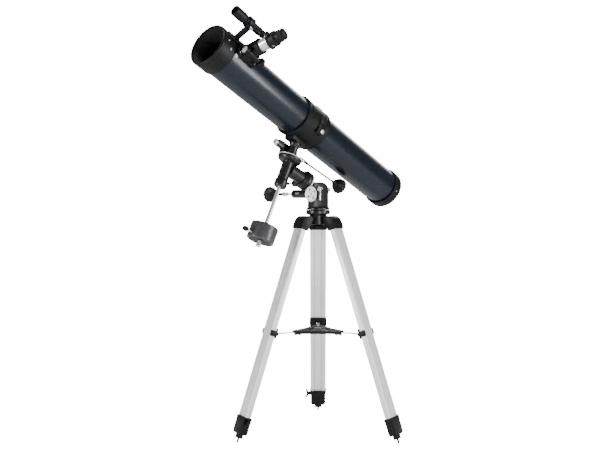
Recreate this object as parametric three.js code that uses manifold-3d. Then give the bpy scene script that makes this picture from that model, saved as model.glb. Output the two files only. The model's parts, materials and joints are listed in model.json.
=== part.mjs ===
// A 114 mm Newtonian reflector on a small German equatorial mount and an aluminium tripod.
// Millimetres, +Z up, feet on Z = 0. Groups nest in the order the real axes do:
// tripod, azimuth, latitude, right ascension, declination, tube.
import * as THREE from "three";
import { mergeVertices } from "three/addons/utils/BufferGeometryUtils.js";
import Module from "manifold-3d";

const wasm = await Module();
wasm.setup();

// ---- driving dimensions -------------------------------------------------------------------
const GAP = 0.4; // clearance between touching pieces
const RUN = 0.6; // clearance of sliding and turning fits

// tripod
const HUB_Z = 700; // top face of the hub
const FOOT_R = 281; // spike tips to the tripod axis
const LEG_TOP_R = 58.5; // legs' centre lines to the tripod axis, at their castings
const LEG_TOP_DROP = 38.9; // and below the hub's top face
const LEG_AZIMUTHS = [210, 330, 90]; // degrees, front left, front right, rear
const LEG_WIDTH = 52;
const LEG_THICK = 18;
const RAIL_WIDTH = 13;
const RAIL_WEB = 3;
const BLOCK_HEIGHT = 53; // clamp block at the bottom of the rails
const BLOCK_WIDTH = 56;
const NECK_LENGTH = 13;
const SPIKE_LENGTH = 16;
const SPIKE_R = 3.5;
const PIVOT_R = 44; // leg fold axis to the tripod axis
const PIVOT_DROP = 28; // leg fold axis below the hub's top face
const BRACE_Z = 327; // height of the brace arms
const BRACE_LENGTH = 78; // clevis pin to tray screw
const TRAY_CORNER_R = 86;
const TRAY_THICK = 9; // floor and hanging rim together
const TRAY_FLOOR = 3;

// mount
const POLAR_AZIMUTH = THREE.MathUtils.degToRad(223.6);
const LATITUDE = THREE.MathUtils.degToRad(25.75);
const PILLAR_LENGTH = 62;
const PILLAR_WIDTH = 32;
const PILLAR_HEIGHT = 87;
const YOKE_SLOT = 19;
const YOKE_DEPTH = 52;
const POLAR_RISE = 64.2; // polar axis above the hub, at the azimuth axis
const POLAR_REACH = 147; // azimuth axis to the declination axis, along the polar axis
const POLAR_R = 23; // polar housing
const WORM_BACK = 100.5; // right ascension worm behind the declination axis
const WORM_DROP = 38.3; // and below the polar axis
const WORM_SHAFT_R = 3.2;
const SLOW_ROD_R = 3;
const SLOW_KNOB_R = 25;
const SLOW_KNOB_LENGTH = 34;
const RA_ROD_REACH = 138; // polar plane to the right ascension knob
const DEC_R = 17.5;
const DEC_LOW = 66; // housing below the crossing of the axes
const DEC_HIGH = 34; // and above it
const CIRCLE_R = 38;
const NECK_R = 14;
const DEC_TURN = THREE.MathUtils.degToRad(4.5); // tube turned off the polar plane
const DEC_WORM_SIDE = 27;
const DEC_WORM_RISE = 64;
const DEC_ROD_REACH = 226;
const ROD_R = 6; // counterweight rod
const ROD_END = 252;
const WEIGHT_R = 42;
const WEIGHT_HEIGHT = 51;
const WEIGHT_AT = 218.5; // centre below the crossing of the axes

// optical tube, measured from the declination axis along the tube
const TUBE_R = 60;
const TUBE_WALL = 1.6;
const TUBE_RISE = TUBE_R + 97.5; // tube axis above the crossing of the axes
const TUBE_FRONT = 433.5;
const TUBE_REAR = 471.5;
const RING_LENGTH = 54;
const RING_R = TUBE_R + 4.2;
const CELL_LENGTH = 36;
const CELL_R = TUBE_R + 5.2;
const MIRROR_R = TUBE_R - 3;
const MIRROR_THICK = 12;
const CRADLE_FRONT = 48;
const CRADLE_REAR = 53;
const CRADLE_WALL = 4.6;
const FOCUSER_AT = 338;
const FOCUSER_ANGLE = THREE.MathUtils.degToRad(67);
const FOCUSER_TOP = TUBE_R + 57; // top of the focuser body, from the tube axis
const DRAW_R = 17.3;
const HOLDER_AT = TUBE_R + 83; // bottom of the eyepiece holder, from the tube axis
const HOLDER_R = 23.5;
const HOLDER_LENGTH = 27;
const EYEPIECE_R = 15.875;
const DRAW_BORE = EYEPIECE_R + GAP;
const EYE_TOP = TUBE_R + 136;
const FOCUS_SHAFT_RISE = TUBE_R + 25;
const FOCUS_SHAFT_R = 2.6;
const FOCUS_SHAFT_SIDE = DRAW_R + FOCUS_SHAFT_R + GAP;
const FINDER_ANGLE = THREE.MathUtils.degToRad(49);
const FINDER_RISE = TUBE_R + 65;
const FINDER_FRONT = 457;
const FINDER_REAR = 336;
const FINDER_R = 11.5;
const FINDER_RING_AT = 398;

const LEG_TOP_Z = HUB_Z - LEG_TOP_DROP;
const SPLAY = Math.atan2(FOOT_R - LEG_TOP_R, LEG_TOP_Z);
const LEG_LENGTH = LEG_TOP_Z / Math.cos(SPLAY);
const INNER_WIDTH = LEG_WIDTH - 2 * RAIL_WIDTH - 2 * RUN;
const INNER_THICK = LEG_THICK - RAIL_WEB - 2 * RUN - 2;
const POLAR_Z = HUB_Z + POLAR_RISE;

// ---- finishes -----------------------------------------------------------------------------
const finish = (color, roughness, metalness) => () =>
  new THREE.MeshStandardMaterial({ color, roughness, metalness });
const navyPaint = finish(0x16243a, 0.3, 0.4);
const blackPlastic = finish(0x1b1b1c, 0.55, 0);
const blackPaint = finish(0x17181a, 0.42, 0.2);
const greyIron = finish(0x3c3d3f, 0.5, 0.5);
const aluminium = finish(0xd9dadc, 0.35, 0.9);
const chrome = finish(0xe6e7e8, 0.12, 1);
const glass = finish(0x9aa3ad, 0.03, 1);

// ---- solids and outlines ------------------------------------------------------------------
function toSolid(geometry) {
  const bare = geometry.clone();
  bare.deleteAttribute("normal");
  bare.deleteAttribute("uv");
  const merged = mergeVertices(bare);
  const vertProperties = new Float32Array(merged.attributes.position.array);
  const triVerts = new Uint32Array(merged.index.array);
  return new wasm.Manifold(new wasm.Mesh({ numProp: 3, vertProperties, triVerts }));
}

function toGeometry(solid) {
  const mesh = solid.getMesh();
  const geometry = new THREE.BufferGeometry();
  geometry.setAttribute("position", new THREE.BufferAttribute(mesh.vertProperties, 3));
  geometry.setIndex(new THREE.BufferAttribute(mesh.triVerts, 1));
  return geometry;
}

const join = (...pieces) => toGeometry(pieces.map(toSolid).reduce((a, b) => a.add(b)));
const cut = (body, ...tools) => toGeometry(tools.map(toSolid).reduce((a, b) => a.subtract(b), toSolid(body)));
const overlap = (a, b) => toGeometry(toSolid(a).intersect(toSolid(b)));

function block(x0, x1, y0, y1, z0, z1) {
  return new THREE.BoxGeometry(x1 - x0, y1 - y0, z1 - z0)
    .translate((x0 + x1) / 2, (y0 + y1) / 2, (z0 + z1) / 2);
}

// turns a piece made along Z so that it lies along another axis
function along(axis, geometry) {
  if (axis === "x") return geometry.rotateY(Math.PI / 2);
  if (axis === "y") return geometry.rotateX(-Math.PI / 2);
  return geometry;
}

function rod(axis, radius, from, to, sides = 10) {
  const length = to - from;
  const bar = new THREE.CylinderGeometry(radius, radius, length, sides).rotateX(Math.PI / 2);
  return along(axis, bar.translate(0, 0, (from + to) / 2));
}

// a body of revolution about an axis, from its [radius, height] outline listed bottom to top
function revolve(axis, outline, sides = 16) {
  const points = outline.map(([radius, height]) => new THREE.Vector2(radius, height));
  return along(axis, new THREE.LatheGeometry(points, sides).rotateX(Math.PI / 2));
}

function sleeve(axis, inner, outer, from, to, sides = 28) {
  return revolve(axis, [[inner, from], [outer, from], [outer, to], [inner, to], [inner, from]], sides);
}

function prism(points, depth) {
  const outline = new THREE.Shape(points.map(([x, y]) => new THREE.Vector2(x, y)));
  return new THREE.ExtrudeGeometry(outline, { depth, bevelEnabled: false, curveSegments: 8 });
}

// a profile in the X-Z plane, as thick as width and centred on Y = 0
function sideProfile(points, width) {
  return prism(points, width).rotateX(Math.PI / 2).translate(0, width / 2, 0);
}

// the outline of a disc with equal lobes around it
function lobed(radius, depth, lobes, steps) {
  return Array.from({ length: lobes * steps }, (_, i) => {
    const angle = (i / (lobes * steps)) * 2 * Math.PI;
    const reach = radius - (depth * (1 - Math.cos(lobes * angle))) / 2;
    return [reach * Math.cos(angle), reach * Math.sin(angle)];
  });
}

function add(parent, name, geometry, makeFinish, position = [0, 0, 0], rotation = [0, 0, 0]) {
  const mesh = new THREE.Mesh(geometry, makeFinish());
  mesh.name = name;
  mesh.position.set(...position);
  mesh.rotation.set(...rotation);
  parent.add(mesh);
  return mesh;
}

function group(parent, position = [0, 0, 0], rotation = [0, 0, 0]) {
  const made = new THREE.Group();
  made.position.set(...position);
  made.rotation.set(...rotation);
  parent.add(made);
  return made;
}

// ---- tripod -------------------------------------------------------------------------------
const EAR_WIDTH = 16;
const SKIRT_R = 26;
const SKIRT_DEPTH = 46;
const FLANGE_R = 38;
const FLANGE_DEPTH = 13;
const PIN_R = 3;
const BOLT_R = 5;

function hub() {
  const body = revolve("z", [
    [0, HUB_Z - SKIRT_DEPTH], [SKIRT_R - 2, HUB_Z - SKIRT_DEPTH], [SKIRT_R, HUB_Z - SKIRT_DEPTH + 2],
    [SKIRT_R, HUB_Z - FLANGE_DEPTH - 3], [FLANGE_R - 2, HUB_Z - FLANGE_DEPTH],
    [FLANGE_R, HUB_Z - FLANGE_DEPTH + 2], [FLANGE_R, HUB_Z - 1.5], [FLANGE_R - 1.5, HUB_Z], [0, HUB_Z],
  ], 22);
  const pivotZ = HUB_Z - PIVOT_DROP;
  const ears = LEG_AZIMUTHS.map((azimuth) => cut(
    join(
      block(SKIRT_R - 4, PIVOT_R, -EAR_WIDTH / 2, EAR_WIDTH / 2, pivotZ - 7, pivotZ + 7),
      rod("y", 7, -EAR_WIDTH / 2, EAR_WIDTH / 2).translate(PIVOT_R, 0, pivotZ),
    ),
    rod("y", PIN_R + RUN, -EAR_WIDTH, EAR_WIDTH).translate(PIVOT_R, 0, pivotZ),
  ).rotateZ(THREE.MathUtils.degToRad(azimuth)));
  const bore = rod("z", BOLT_R + RUN, HUB_Z - SKIRT_DEPTH - 1, HUB_Z + 1);
  return cut(join(body, ...ears), bore);
}

function azimuthBolt() {
  const low = HUB_Z - SKIRT_DEPTH - GAP;
  const knob = prism(lobed(16, 2.5, 6, 4), 16).translate(0, 0, low - 16);
  return join(knob, rod("z", BOLT_R, low - 1, HUB_Z - 2));
}

// leg frame: origin on the centre line at LEG_TOP_Z, Z up along the leg, X outward, Y sideways
function legTop() {
  const outline = [[-14, -22], [11.5, -22], [12.5, -6], [10, 10], [1, 21], [-12, 26], [-22, 19], [-19, 0]];
  const shell = sideProfile(outline, LEG_WIDTH + 5);
  const pivot = legPoint(PIVOT_R, HUB_Z - PIVOT_DROP);
  const slot = EAR_WIDTH + 2 * RUN;
  const room = cut(
    shell,
    block(-40, pivot[0] + 10, -slot / 2, slot / 2, pivot[1] - 20, 40),
    block(-40, -6, -slot / 2, slot / 2, -40, 40),
    block(-60, pivot[0] - 12, -40, 40, -40, 40),
  );
  const socket = block(
    -LEG_THICK / 2 - GAP, LEG_THICK / 2 + GAP, -LEG_WIDTH / 2 - GAP, LEG_WIDTH / 2 + GAP, -40, -8,
  );
  const pin = rod("y", PIN_R, -LEG_WIDTH / 2, LEG_WIDTH / 2).translate(pivot[0], 0, pivot[1]);
  return join(cut(room, socket), pin);
}

// a point of the radial plane, given by radius and height, in the leg frame
function legPoint(radius, height) {
  const dr = radius - LEG_TOP_R;
  const dz = height - LEG_TOP_Z;
  return [dr * Math.cos(SPLAY) + dz * Math.sin(SPLAY), -dr * Math.sin(SPLAY) + dz * Math.cos(SPLAY)];
}

const BLOCK_TOP = -(LEG_LENGTH - SPIKE_LENGTH - NECK_LENGTH - BLOCK_HEIGHT);

function legOuter() {
  const top = -8 - GAP;
  const bottom = BLOCK_TOP + GAP;
  const bar = block(-LEG_THICK / 2, LEG_THICK / 2, -LEG_WIDTH / 2, LEG_WIDTH / 2, bottom, top);
  const half = LEG_WIDTH / 2 - RAIL_WIDTH;
  const channel = block(-LEG_THICK, LEG_THICK / 2 - RAIL_WEB, -half, half, bottom - 1, top + 1);
  const grooves = [-1, 1].map((side) => block(
    LEG_THICK / 2 - 1, LEG_THICK, side * (half + 0.5) - 1, side * (half + 0.5) + 1, bottom - 1, top + 1,
  ));
  return cut(bar, channel, ...grooves);
}

function legInner() {
  const x1 = LEG_THICK / 2 - RAIL_WEB - RUN;
  const x0 = x1 - INNER_THICK;
  const neckTop = BLOCK_TOP - BLOCK_HEIGHT;
  const panel = block(x0, x1, -INNER_WIDTH / 2, INNER_WIDTH / 2, neckTop - 1, -10);
  const neck = block(x0 - 2, x1 + 2, -11.5, 11.5, neckTop - NECK_LENGTH, neckTop - GAP);
  const spike = revolve("z", [[0, -LEG_LENGTH], [1.2, -LEG_LENGTH], [SPIKE_R, -LEG_LENGTH + 6],
    [SPIKE_R, neckTop - NECK_LENGTH + 1], [0, neckTop - NECK_LENGTH + 1]], 10);
  return join(panel, neck, spike);
}

const LOCK_SCREW_Z = BLOCK_TOP - 14;

function clampBlock() {
  const low = BLOCK_TOP - BLOCK_HEIGHT;
  const half = BLOCK_WIDTH / 2;
  const front = [[-half + 7, low], [half - 7, low], [half - 3, low + 8], [half - 3, BLOCK_TOP - 9],
    [half, BLOCK_TOP - 5], [half, BLOCK_TOP], [-half, BLOCK_TOP], [-half, BLOCK_TOP - 5],
    [-half + 3, BLOCK_TOP - 9], [-half + 3, low + 8]];
  const depth = LEG_THICK + 8;
  const body = sideProfile(front, depth).rotateZ(Math.PI / 2);
  const x1 = LEG_THICK / 2 - RAIL_WEB;
  const slot = block(
    x1 - INNER_THICK - 2 * RUN, x1, -INNER_WIDTH / 2 - RUN, INNER_WIDTH / 2 + RUN, low - 1, BLOCK_TOP + 1,
  );
  const seat = rod("y", 7.5, half - 6, half + 9).translate(0, 0, LOCK_SCREW_Z);
  const screwHole = rod("y", 3, INNER_WIDTH / 2, half + 2).translate(0, 0, LOCK_SCREW_Z);
  return cut(body, slot, seat, screwHole);
}

function wingScrew(length) {
  const wing = prism([[-4, 2], [4, 2], [8, 5], [16, 8], [16, 13], [8, 13], [3, 10], [-3, 10], [-8, 13],
    [-16, 13], [-16, 8], [-8, 5]], 4).translate(0, 0, -2).rotateX(Math.PI / 2);
  return join(wing, rod("z", 6, -5, 10, 10), rod("z", 2.4, -length, 0, 8));
}

// brace clevis on the inner face of a leg
const CLEVIS_REACH = 12;
const clevisPoint = (() => {
  const radius = FOOT_R - BRACE_Z * Math.tan(SPLAY);
  const [x, z] = legPoint(radius, BRACE_Z);
  return [x - LEG_THICK / 2 - CLEVIS_REACH, z];
})();

function braceBracket() {
  const [x, z] = clevisPoint;
  const face = -LEG_THICK / 2 - GAP;
  const plate = block(face - 4, face, -LEG_WIDTH / 2 - 1, LEG_WIDTH / 2 + 1, z - 15, z + 17);
  const ears = [-1, 1].map((side) => join(
    block(x, face - 2, side * 9 - 2.5, side * 9 + 2.5, z - 6, z + 6),
    rod("y", 6, side * 9 - 2.5, side * 9 + 2.5, 10).translate(x, 0, z),
  ));
  const pin = rod("y", 1.8, -12, 12, 8).translate(x, 0, z);
  const straps = [-1, 1].map((side) => block(
    face - 4, LEG_THICK / 2 + 2, side * (LEG_WIDTH / 2 + GAP + 1) - 1, side * (LEG_WIDTH / 2 + GAP + 1) + 1,
    z - 9, z + 9,
  ));
  return join(plate, ...ears, pin, ...straps);
}

// arm frame: origin on the clevis pin, X outward, so the arm runs along -X
function braceArm() {
  const strip = block(-BRACE_LENGTH - 8, -9, -6.5, 6.5, -1.3, 1.3);
  const eye = join(rod("y", 4.6, -5.6, 5.6, 10), block(-12, 0, -5.6, 5.6, -2.2, 2.2));
  const pinHole = rod("y", 1.8 + RUN / 2, -8, 8, 8);
  const screw = braceScrew().translate(-BRACE_LENGTH, 0, 0);
  return cut(join(strip, eye, screw), pinHole);
}

function braceScrew() {
  const wing = prism([[-12, 0], [-12, 7], [-6, 9], [-3, 6], [3, 6], [6, 9], [12, 7], [12, 0]], 3)
    .translate(0, 0, -1.5).rotateX(-Math.PI / 2).translate(0, 0, -2.4);
  const nut = rod("z", 4.6, -8, -1.2, 8);
  const post = rod("z", 2, -9, 1.3 + GAP + 5, 8);
  return join(wing, nut, post);
}

function tray() {
  const corner = (azimuth, radius, spread) => {
    const a = THREE.MathUtils.degToRad(azimuth);
    const turn = [Math.cos(a), Math.sin(a)];
    return [radius * turn[0] - spread * turn[1], radius * turn[1] + spread * turn[0]];
  };
  const outlineAt = (radius, spread, waist) => [90, 210, 330].flatMap((azimuth) => [
    corner(azimuth, radius, -spread), corner(azimuth, radius, spread), corner(azimuth + 60, waist, 0),
  ]);
  const hang = TRAY_FLOOR - TRAY_THICK;
  const plate = prism(outlineAt(TRAY_CORNER_R, 13, 47), TRAY_THICK).translate(0, 0, hang);
  const recess = prism(outlineAt(TRAY_CORNER_R - 4, 11, 43), TRAY_THICK).translate(0, 0, -TRAY_THICK);
  const armWays = LEG_AZIMUTHS.map((azimuth) => block(
    TRAY_CORNER_R - 40, TRAY_CORNER_R + 10, -9, 9, hang - 1, 0,
  ).rotateZ(THREE.MathUtils.degToRad(azimuth)));
  const windows = [90, 210, 330].flatMap((azimuth) => [
    prism(
      [corner(azimuth, 25, -9), corner(azimuth, 58, -8), corner(azimuth, 58, 8), corner(azimuth, 25, 9)], 14,
    ).translate(0, 0, -10),
    rod("z", 11, -10, TRAY_THICK, 14).translate(...corner(azimuth + 60, 27, 0), 0),
  ]);
  const slots = LEG_AZIMUTHS.map((azimuth) => block(
    clevisRadius - BRACE_LENGTH - 5, clevisRadius - BRACE_LENGTH + 3, -3, 3, -10, 20,
  ).rotateZ(THREE.MathUtils.degToRad(azimuth)));
  return cut(plate, recess, ...windows, ...slots, ...armWays);
}

const clevisRadius = LEG_TOP_R + clevisPoint[0] * Math.cos(SPLAY) - clevisPoint[1] * Math.sin(SPLAY);
const clevisHeight = LEG_TOP_Z + clevisPoint[0] * Math.sin(SPLAY) + clevisPoint[1] * Math.cos(SPLAY);

const LOCK_SCREW_Y = BLOCK_WIDTH / 2 + 1.5;
const lockReach = LOCK_SCREW_Y - INNER_WIDTH / 2 - RUN - GAP; // screw tip just clear of the inner leg

function buildTripod(parent) {
  add(parent, "tripod_hub", hub(), blackPaint);
  add(parent, "azimuth_bolt", azimuthBolt(), blackPlastic);
  LEG_AZIMUTHS.forEach((azimuth, i) => {
    const n = i + 1;
    const radial = group(parent, [0, 0, 0], [0, 0, THREE.MathUtils.degToRad(azimuth)]);
    const leg = group(radial, [LEG_TOP_R, 0, LEG_TOP_Z], [0, -SPLAY, 0]);
    add(leg, `leg_${n}_top`, legTop(), blackPlastic);
    add(leg, `leg_${n}_outer`, legOuter(), aluminium);
    add(leg, `leg_${n}_inner`, legInner(), aluminium);
    add(leg, `leg_${n}_clamp`, clampBlock(), blackPlastic);
    add(leg, `leg_${n}_lock_screw`, wingScrew(lockReach), blackPlastic,
      [0, LOCK_SCREW_Y, LOCK_SCREW_Z], [-Math.PI / 2, 0, Math.PI / 2]);
    add(leg, `leg_${n}_brace_bracket`, braceBracket(), blackPlastic);
    const arm = group(radial, [clevisRadius, 0, clevisHeight]);
    add(arm, `brace_arm_${n}`, braceArm(), chrome);
  });
  add(parent, "accessory_tray", tray(), blackPlastic, [0, 0, clevisHeight + 1.3 + GAP]);
}

// ---- mount --------------------------------------------------------------------------------
const PIVOT_X = 14; // latitude pivot, along the polar heading
const PIVOT_Z = HUB_Z + 66.5;
const TONGUE = YOKE_SLOT - 2 * RUN;

function azimuthBase() {
  const front = PILLAR_LENGTH / 2;
  const low = HUB_Z + GAP;
  const top = HUB_Z + PILLAR_HEIGHT;
  const bend = 26; // radius of the rounded top rear corner
  const arc = Array.from({ length: 7 }, (_, i) => {
    const angle = Math.PI / 2 + (i / 6) * (Math.PI / 2);
    return [-front + bend + bend * Math.cos(angle), top - bend + bend * Math.sin(angle)];
  });
  const pillar = sideProfile([[front, low + 6], [front, top - 4], [front - 4, top], ...arc,
    [-front, low + 6]], PILLAR_WIDTH);
  const plate = revolve("z", [[0, low], [FLANGE_R - 2, low], [FLANGE_R - 2, low + 6], [FLANGE_R - 5, low + 9],
    [0, low + 9]], 36);
  const slot = block(-front + 7, front + 5, -YOKE_SLOT / 2, YOKE_SLOT / 2, top - YOKE_DEPTH, top + 5);
  const pivotHole = rod("y", 4 + RUN, -PILLAR_WIDTH, PILLAR_WIDTH).translate(PIVOT_X, 0, PIVOT_Z);
  const screwHole = rod("x", 4 + RUN, -PILLAR_LENGTH, 0).translate(0, 0, PIVOT_Z - 3);
  const threadHole = rod("z", BOLT_R + RUN, low - 1, low + 8);
  return cut(join(pillar, plate), slot, pivotHole, screwHole, threadHole);
}

function latitudeScrew() {
  const rear = -PILLAR_LENGTH / 2;
  const shaft = rod("x", 4, rear - 6, rear + 9, 10);
  const head = rod("x", 7, rear - 18, rear - 5, 6);
  return join(shaft, head);
}

function latitudeHandle() {
  const face = PILLAR_WIDTH / 2 + GAP;
  const boss = join(rod("y", 8, face, face + 5, 14), rod("y", 5.5, face, face + 12, 10));
  const shaft = rod("y", 4, -PILLAR_WIDTH / 2 + 1, face + 1, 10);
  const lever = join(rod("z", 2.6, -34, 0.7, 8), rod("z", 3.4, -36, -30, 8)).translate(0, face + 7.7, 0);
  const ears = rod("x", 2.8, -11, 11, 8).translate(0, face + 7.7, 1.6);
  return join(boss, shaft, lever, ears);
}

// polar frame: origin where the axes cross, X up the polar axis, Z towards the tube
const toPolarX = (x, z) => Math.cos(LATITUDE) * (x - crossX) + Math.sin(LATITUDE) * (z - crossZ);
const toPolarZ = (x, z) => -Math.sin(LATITUDE) * (x - crossX) + Math.cos(LATITUDE) * (z - crossZ);
const crossX = POLAR_REACH * Math.cos(LATITUDE);
const crossZ = POLAR_Z + POLAR_REACH * Math.sin(LATITUDE);
const HOUSING_FRONT = -66;
const HOUSING_REAR = -98;
const POLAR_BORE = 9;
const RA_CIRCLE_R = 30;
const CIRCLE_FROM = HOUSING_REAR + 2.5;
const CIRCLE_TO = CIRCLE_FROM + 4.5;
const BOSS_AT = HOUSING_REAR + 19; // clamp boss on the side of the housing
const BOSS_DROP = 12;
const TONGUE_HALF = 14; // half height of the tongue that the yoke holds

function polarHousing() {
  const body = revolve("x", [[0, HOUSING_REAR], [POLAR_R - 1, HOUSING_REAR], [POLAR_R, HOUSING_REAR + 2],
    [POLAR_R, CIRCLE_TO + GAP], [RA_CIRCLE_R, CIRCLE_TO + GAP], [RA_CIRCLE_R, HOUSING_FRONT - 10],
    [POLAR_R - 2, HOUSING_FRONT], [0, HOUSING_FRONT]], 20);
  const px = toPolarX(PIVOT_X, PIVOT_Z);
  const pz = toPolarZ(PIVOT_X, PIVOT_Z);
  const tongue = cut(
    join(
      rod("y", TONGUE_HALF + 1, -TONGUE / 2, TONGUE / 2, 20).translate(px, 0, pz),
      block(px, HOUSING_REAR + 4, -TONGUE / 2, TONGUE / 2, pz - TONGUE_HALF, pz + TONGUE_HALF),
    ),
    rod("y", 4 + RUN, -TONGUE, TONGUE).translate(px, 0, pz),
  );
  const boss = rod("y", 10.5, -40, -8, 18).translate(BOSS_AT, 0, -BOSS_DROP);
  const bore = rod("x", POLAR_BORE + RUN, HOUSING_REAR + 12, HOUSING_FRONT + 1);
  return cut(join(body, tongue, boss), bore);
}

function raCircle() {
  return sleeve("x", POLAR_R + GAP, RA_CIRCLE_R, CIRCLE_FROM, CIRCLE_TO, 22);
}

const COVER_AT = 27.5; // inner face of the worm cover, from the polar plane

// worm case under the polar housing, open on the side that shows the worm
function raWormCase() {
  const left = -48;
  const right = COVER_AT - 2;
  const barrel = cut(
    rod("y", 13, left, right, 16),
    rod("x", RA_CIRCLE_R + RUN, -40, 40, 28).translate(0, 0, WORM_DROP),
  );
  const bore = rod("y", 8, left + 6, right - 6, 14);
  const shaftHole = rod("y", WORM_SHAFT_R + RUN, left - 2, right + 2, 10);
  const window = block(2, 20, left + 10, -12, -7, 7);
  const under = toPolarZ(PIVOT_X, PIVOT_Z) - TONGUE_HALF + WORM_DROP - GAP;
  const top = block(-11, -0.5, -TONGUE / 2 - 4, TONGUE / 2 + 4, 8, under);
  return cut(join(barrel, top), bore, shaftHole, window);
}

function raWorm() {
  const shaft = rod("y", WORM_SHAFT_R, -94, COVER_AT + 5, 10);
  const worm = Array.from({ length: 3 }, (_, i) =>
    revolve("y", [[0, -36 + i * 8], [3.9, -36 + i * 8], [6.4, -33.5 + i * 8], [6.4, -32.5 + i * 8],
      [3.9, -30 + i * 8], [0, -30 + i * 8]], 8));
  const core = rod("y", 4.4, -39, 8, 8);
  const fork = join(rod("y", 6, -94, -80, 10), block(-6, -3, -100, -90, -4, 4), block(3, 6, -100, -90, -4, 4));
  return join(shaft, core, ...worm, fork);
}

// slow motion control: a knob at the height "to" on a stiff rod that starts at "from"
function slowControl(from, to) {
  const bar = join(rod("z", SLOW_ROD_R, from, to + 9, 10), rod("z", 2.4, from - 6, from + 2, 8));
  return join(bar, slowKnob().translate(0, 0, to));
}

function slowKnob() {
  const star = prism(lobed(SLOW_KNOB_R, 4.5, 7, 4), SLOW_KNOB_LENGTH);
  const form = revolve("z", [[0, 0], [10, 0], [14, 3], [SLOW_KNOB_R, 20], [SLOW_KNOB_R + 1, 27],
    [SLOW_KNOB_R - 4, SLOW_KNOB_LENGTH], [SLOW_KNOB_R - 9, SLOW_KNOB_LENGTH],
    [SLOW_KNOB_R - 11, SLOW_KNOB_LENGTH - 3], [0, SLOW_KNOB_LENGTH - 3]], 28);
  return overlap(star, form);
}

// round cover on the end of the worm case, with four holes for a pin spanner
function wormCover() {
  const disc = revolve("y", [[0, 0], [23, 0], [24.5, 1.5], [24.5, 3], [22, 4.5], [0, 4.5]], 28);
  const holes = Array.from({ length: 4 }, (_, i) => {
    const angle = (i + 0.35) * (Math.PI / 2);
    return rod("y", 3, -1, 6, 10).translate(14 * Math.cos(angle), 0, 14 * Math.sin(angle));
  });
  return cut(disc, ...holes, rod("y", WORM_SHAFT_R + RUN, -1, 6, 10));
}

function polarClamp() {
  return join(rod("y", 2, -24, 0, 8), rod("y", 4.2, -32, -23, 8));
}

function decHousing() {
  const outline = [[0, -DEC_LOW], [DEC_R - 1, -DEC_LOW], [DEC_R + 2.5, -DEC_LOW + 5],
    [DEC_R + 2.5, -DEC_LOW + 22], [DEC_R, -DEC_LOW + 26], [DEC_R, 18], [CIRCLE_R - 5, 21],
    [CIRCLE_R - 1, DEC_HIGH - 6], [CIRCLE_R - 1, DEC_HIGH - GAP], [0, DEC_HIGH - GAP]];
  const body = revolve("z", outline, 20);
  const neck = revolve("x", [[0, HOUSING_REAR + 20], [POLAR_BORE, HOUSING_REAR + 20],
    [POLAR_BORE, HOUSING_FRONT + GAP], [POLAR_R - 3, HOUSING_FRONT + GAP], [POLAR_R - 2, HOUSING_FRONT + 4],
    [POLAR_R - 2, -12], [0, -12]], 24);
  const rodHole = rod("z", ROD_R + RUN, -DEC_LOW - 1, -DEC_LOW + 14);
  const axleHole = rod("z", 8 + RUN, -20, DEC_HIGH + 1);
  return cut(join(body, neck), rodHole, axleHole);
}

function decCircle() {
  return revolve("z", [[NECK_R + RUN, DEC_HIGH], [CIRCLE_R, DEC_HIGH], [CIRCLE_R + 0.5, DEC_HIGH + 1],
    [CIRCLE_R, DEC_HIGH + 2.5], [CIRCLE_R - 3, DEC_HIGH + 2.5], [CIRCLE_R - 4, DEC_HIGH + 1.6],
    [NECK_R + RUN, DEC_HIGH + 1.6], [NECK_R + RUN, DEC_HIGH]], 22);
}

const CRADLE_OUT = TUBE_R + RUN + CRADLE_WALL;
const FOOT_DEPTH = 9; // cradle foot below the shell
const PLATE_LOW = TUBE_RISE - CRADLE_OUT - FOOT_DEPTH;

function decNeck() {
  const axle = rod("z", 8, -19, DEC_HIGH + 6, 16);
  const neck = revolve("z", [[0, DEC_HIGH + 2.5 + RUN], [NECK_R - 1, DEC_HIGH + 2.5 + RUN],
    [NECK_R, DEC_HIGH + 6], [NECK_R, PLATE_LOW - 12], [NECK_R + 4, PLATE_LOW - 4], [NECK_R + 4, PLATE_LOW],
    [0, PLATE_LOW]], 24);
  return join(axle, neck);
}

function decWormCase() {
  const barrel = join(rod("x", 8.5, -34, 46, 10), block(-34, 46, -11, 8.5, 0, 13));
  const foot = block(-20, 22, -9, 8.5, DEC_HIGH + 3 - DEC_WORM_RISE, 0);
  const bore = rod("x", WORM_SHAFT_R + RUN, -40, 60, 10);
  return cut(join(barrel, foot), bore);
}

function decWorm() {
  const shaft = rod("x", WORM_SHAFT_R, -62, 50, 10);
  const cap = revolve("x", [[0, 46.5], [8, 46.5], [9, 48], [9, 55], [7, 57], [0, 57]], 14);
  const fork = join(rod("x", 6, -72, -58, 10), block(-78, -68, -6, -3, -4, 4), block(-78, -68, 3, 6, -4, 4));
  return join(shaft, cap, fork);
}

function counterweightRod() {
  return revolve("z", [[0, -ROD_END - 9], [ROD_R, -ROD_END - 9], [ROD_R + 2, -ROD_END - 7],
    [ROD_R + 2, -ROD_END - 4], [ROD_R, -ROD_END - 2], [ROD_R, -DEC_LOW + 12], [0, -DEC_LOW + 12]], 16);
}

const WEIGHT_SCREW_DROP = 13;

function counterweight() {
  const half = WEIGHT_HEIGHT / 2;
  return revolve("z", [[ROD_R + RUN, -half + 2], [WEIGHT_R - 7, -half + 2], [WEIGHT_R - 6, -half],
    [WEIGHT_R - 2.5, -half], [WEIGHT_R, -half + 2.5], [WEIGHT_R, half - 2.5], [WEIGHT_R - 2.5, half],
    [ROD_R + RUN, half], [ROD_R + RUN, -half + 2]], 22);
}

function weightWithHole() {
  const hole = rod("x", 2.5 + RUN, ROD_R, WEIGHT_R + 2, 10).translate(0, 0, -WEIGHT_SCREW_DROP);
  return cut(counterweight(), hole);
}

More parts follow.
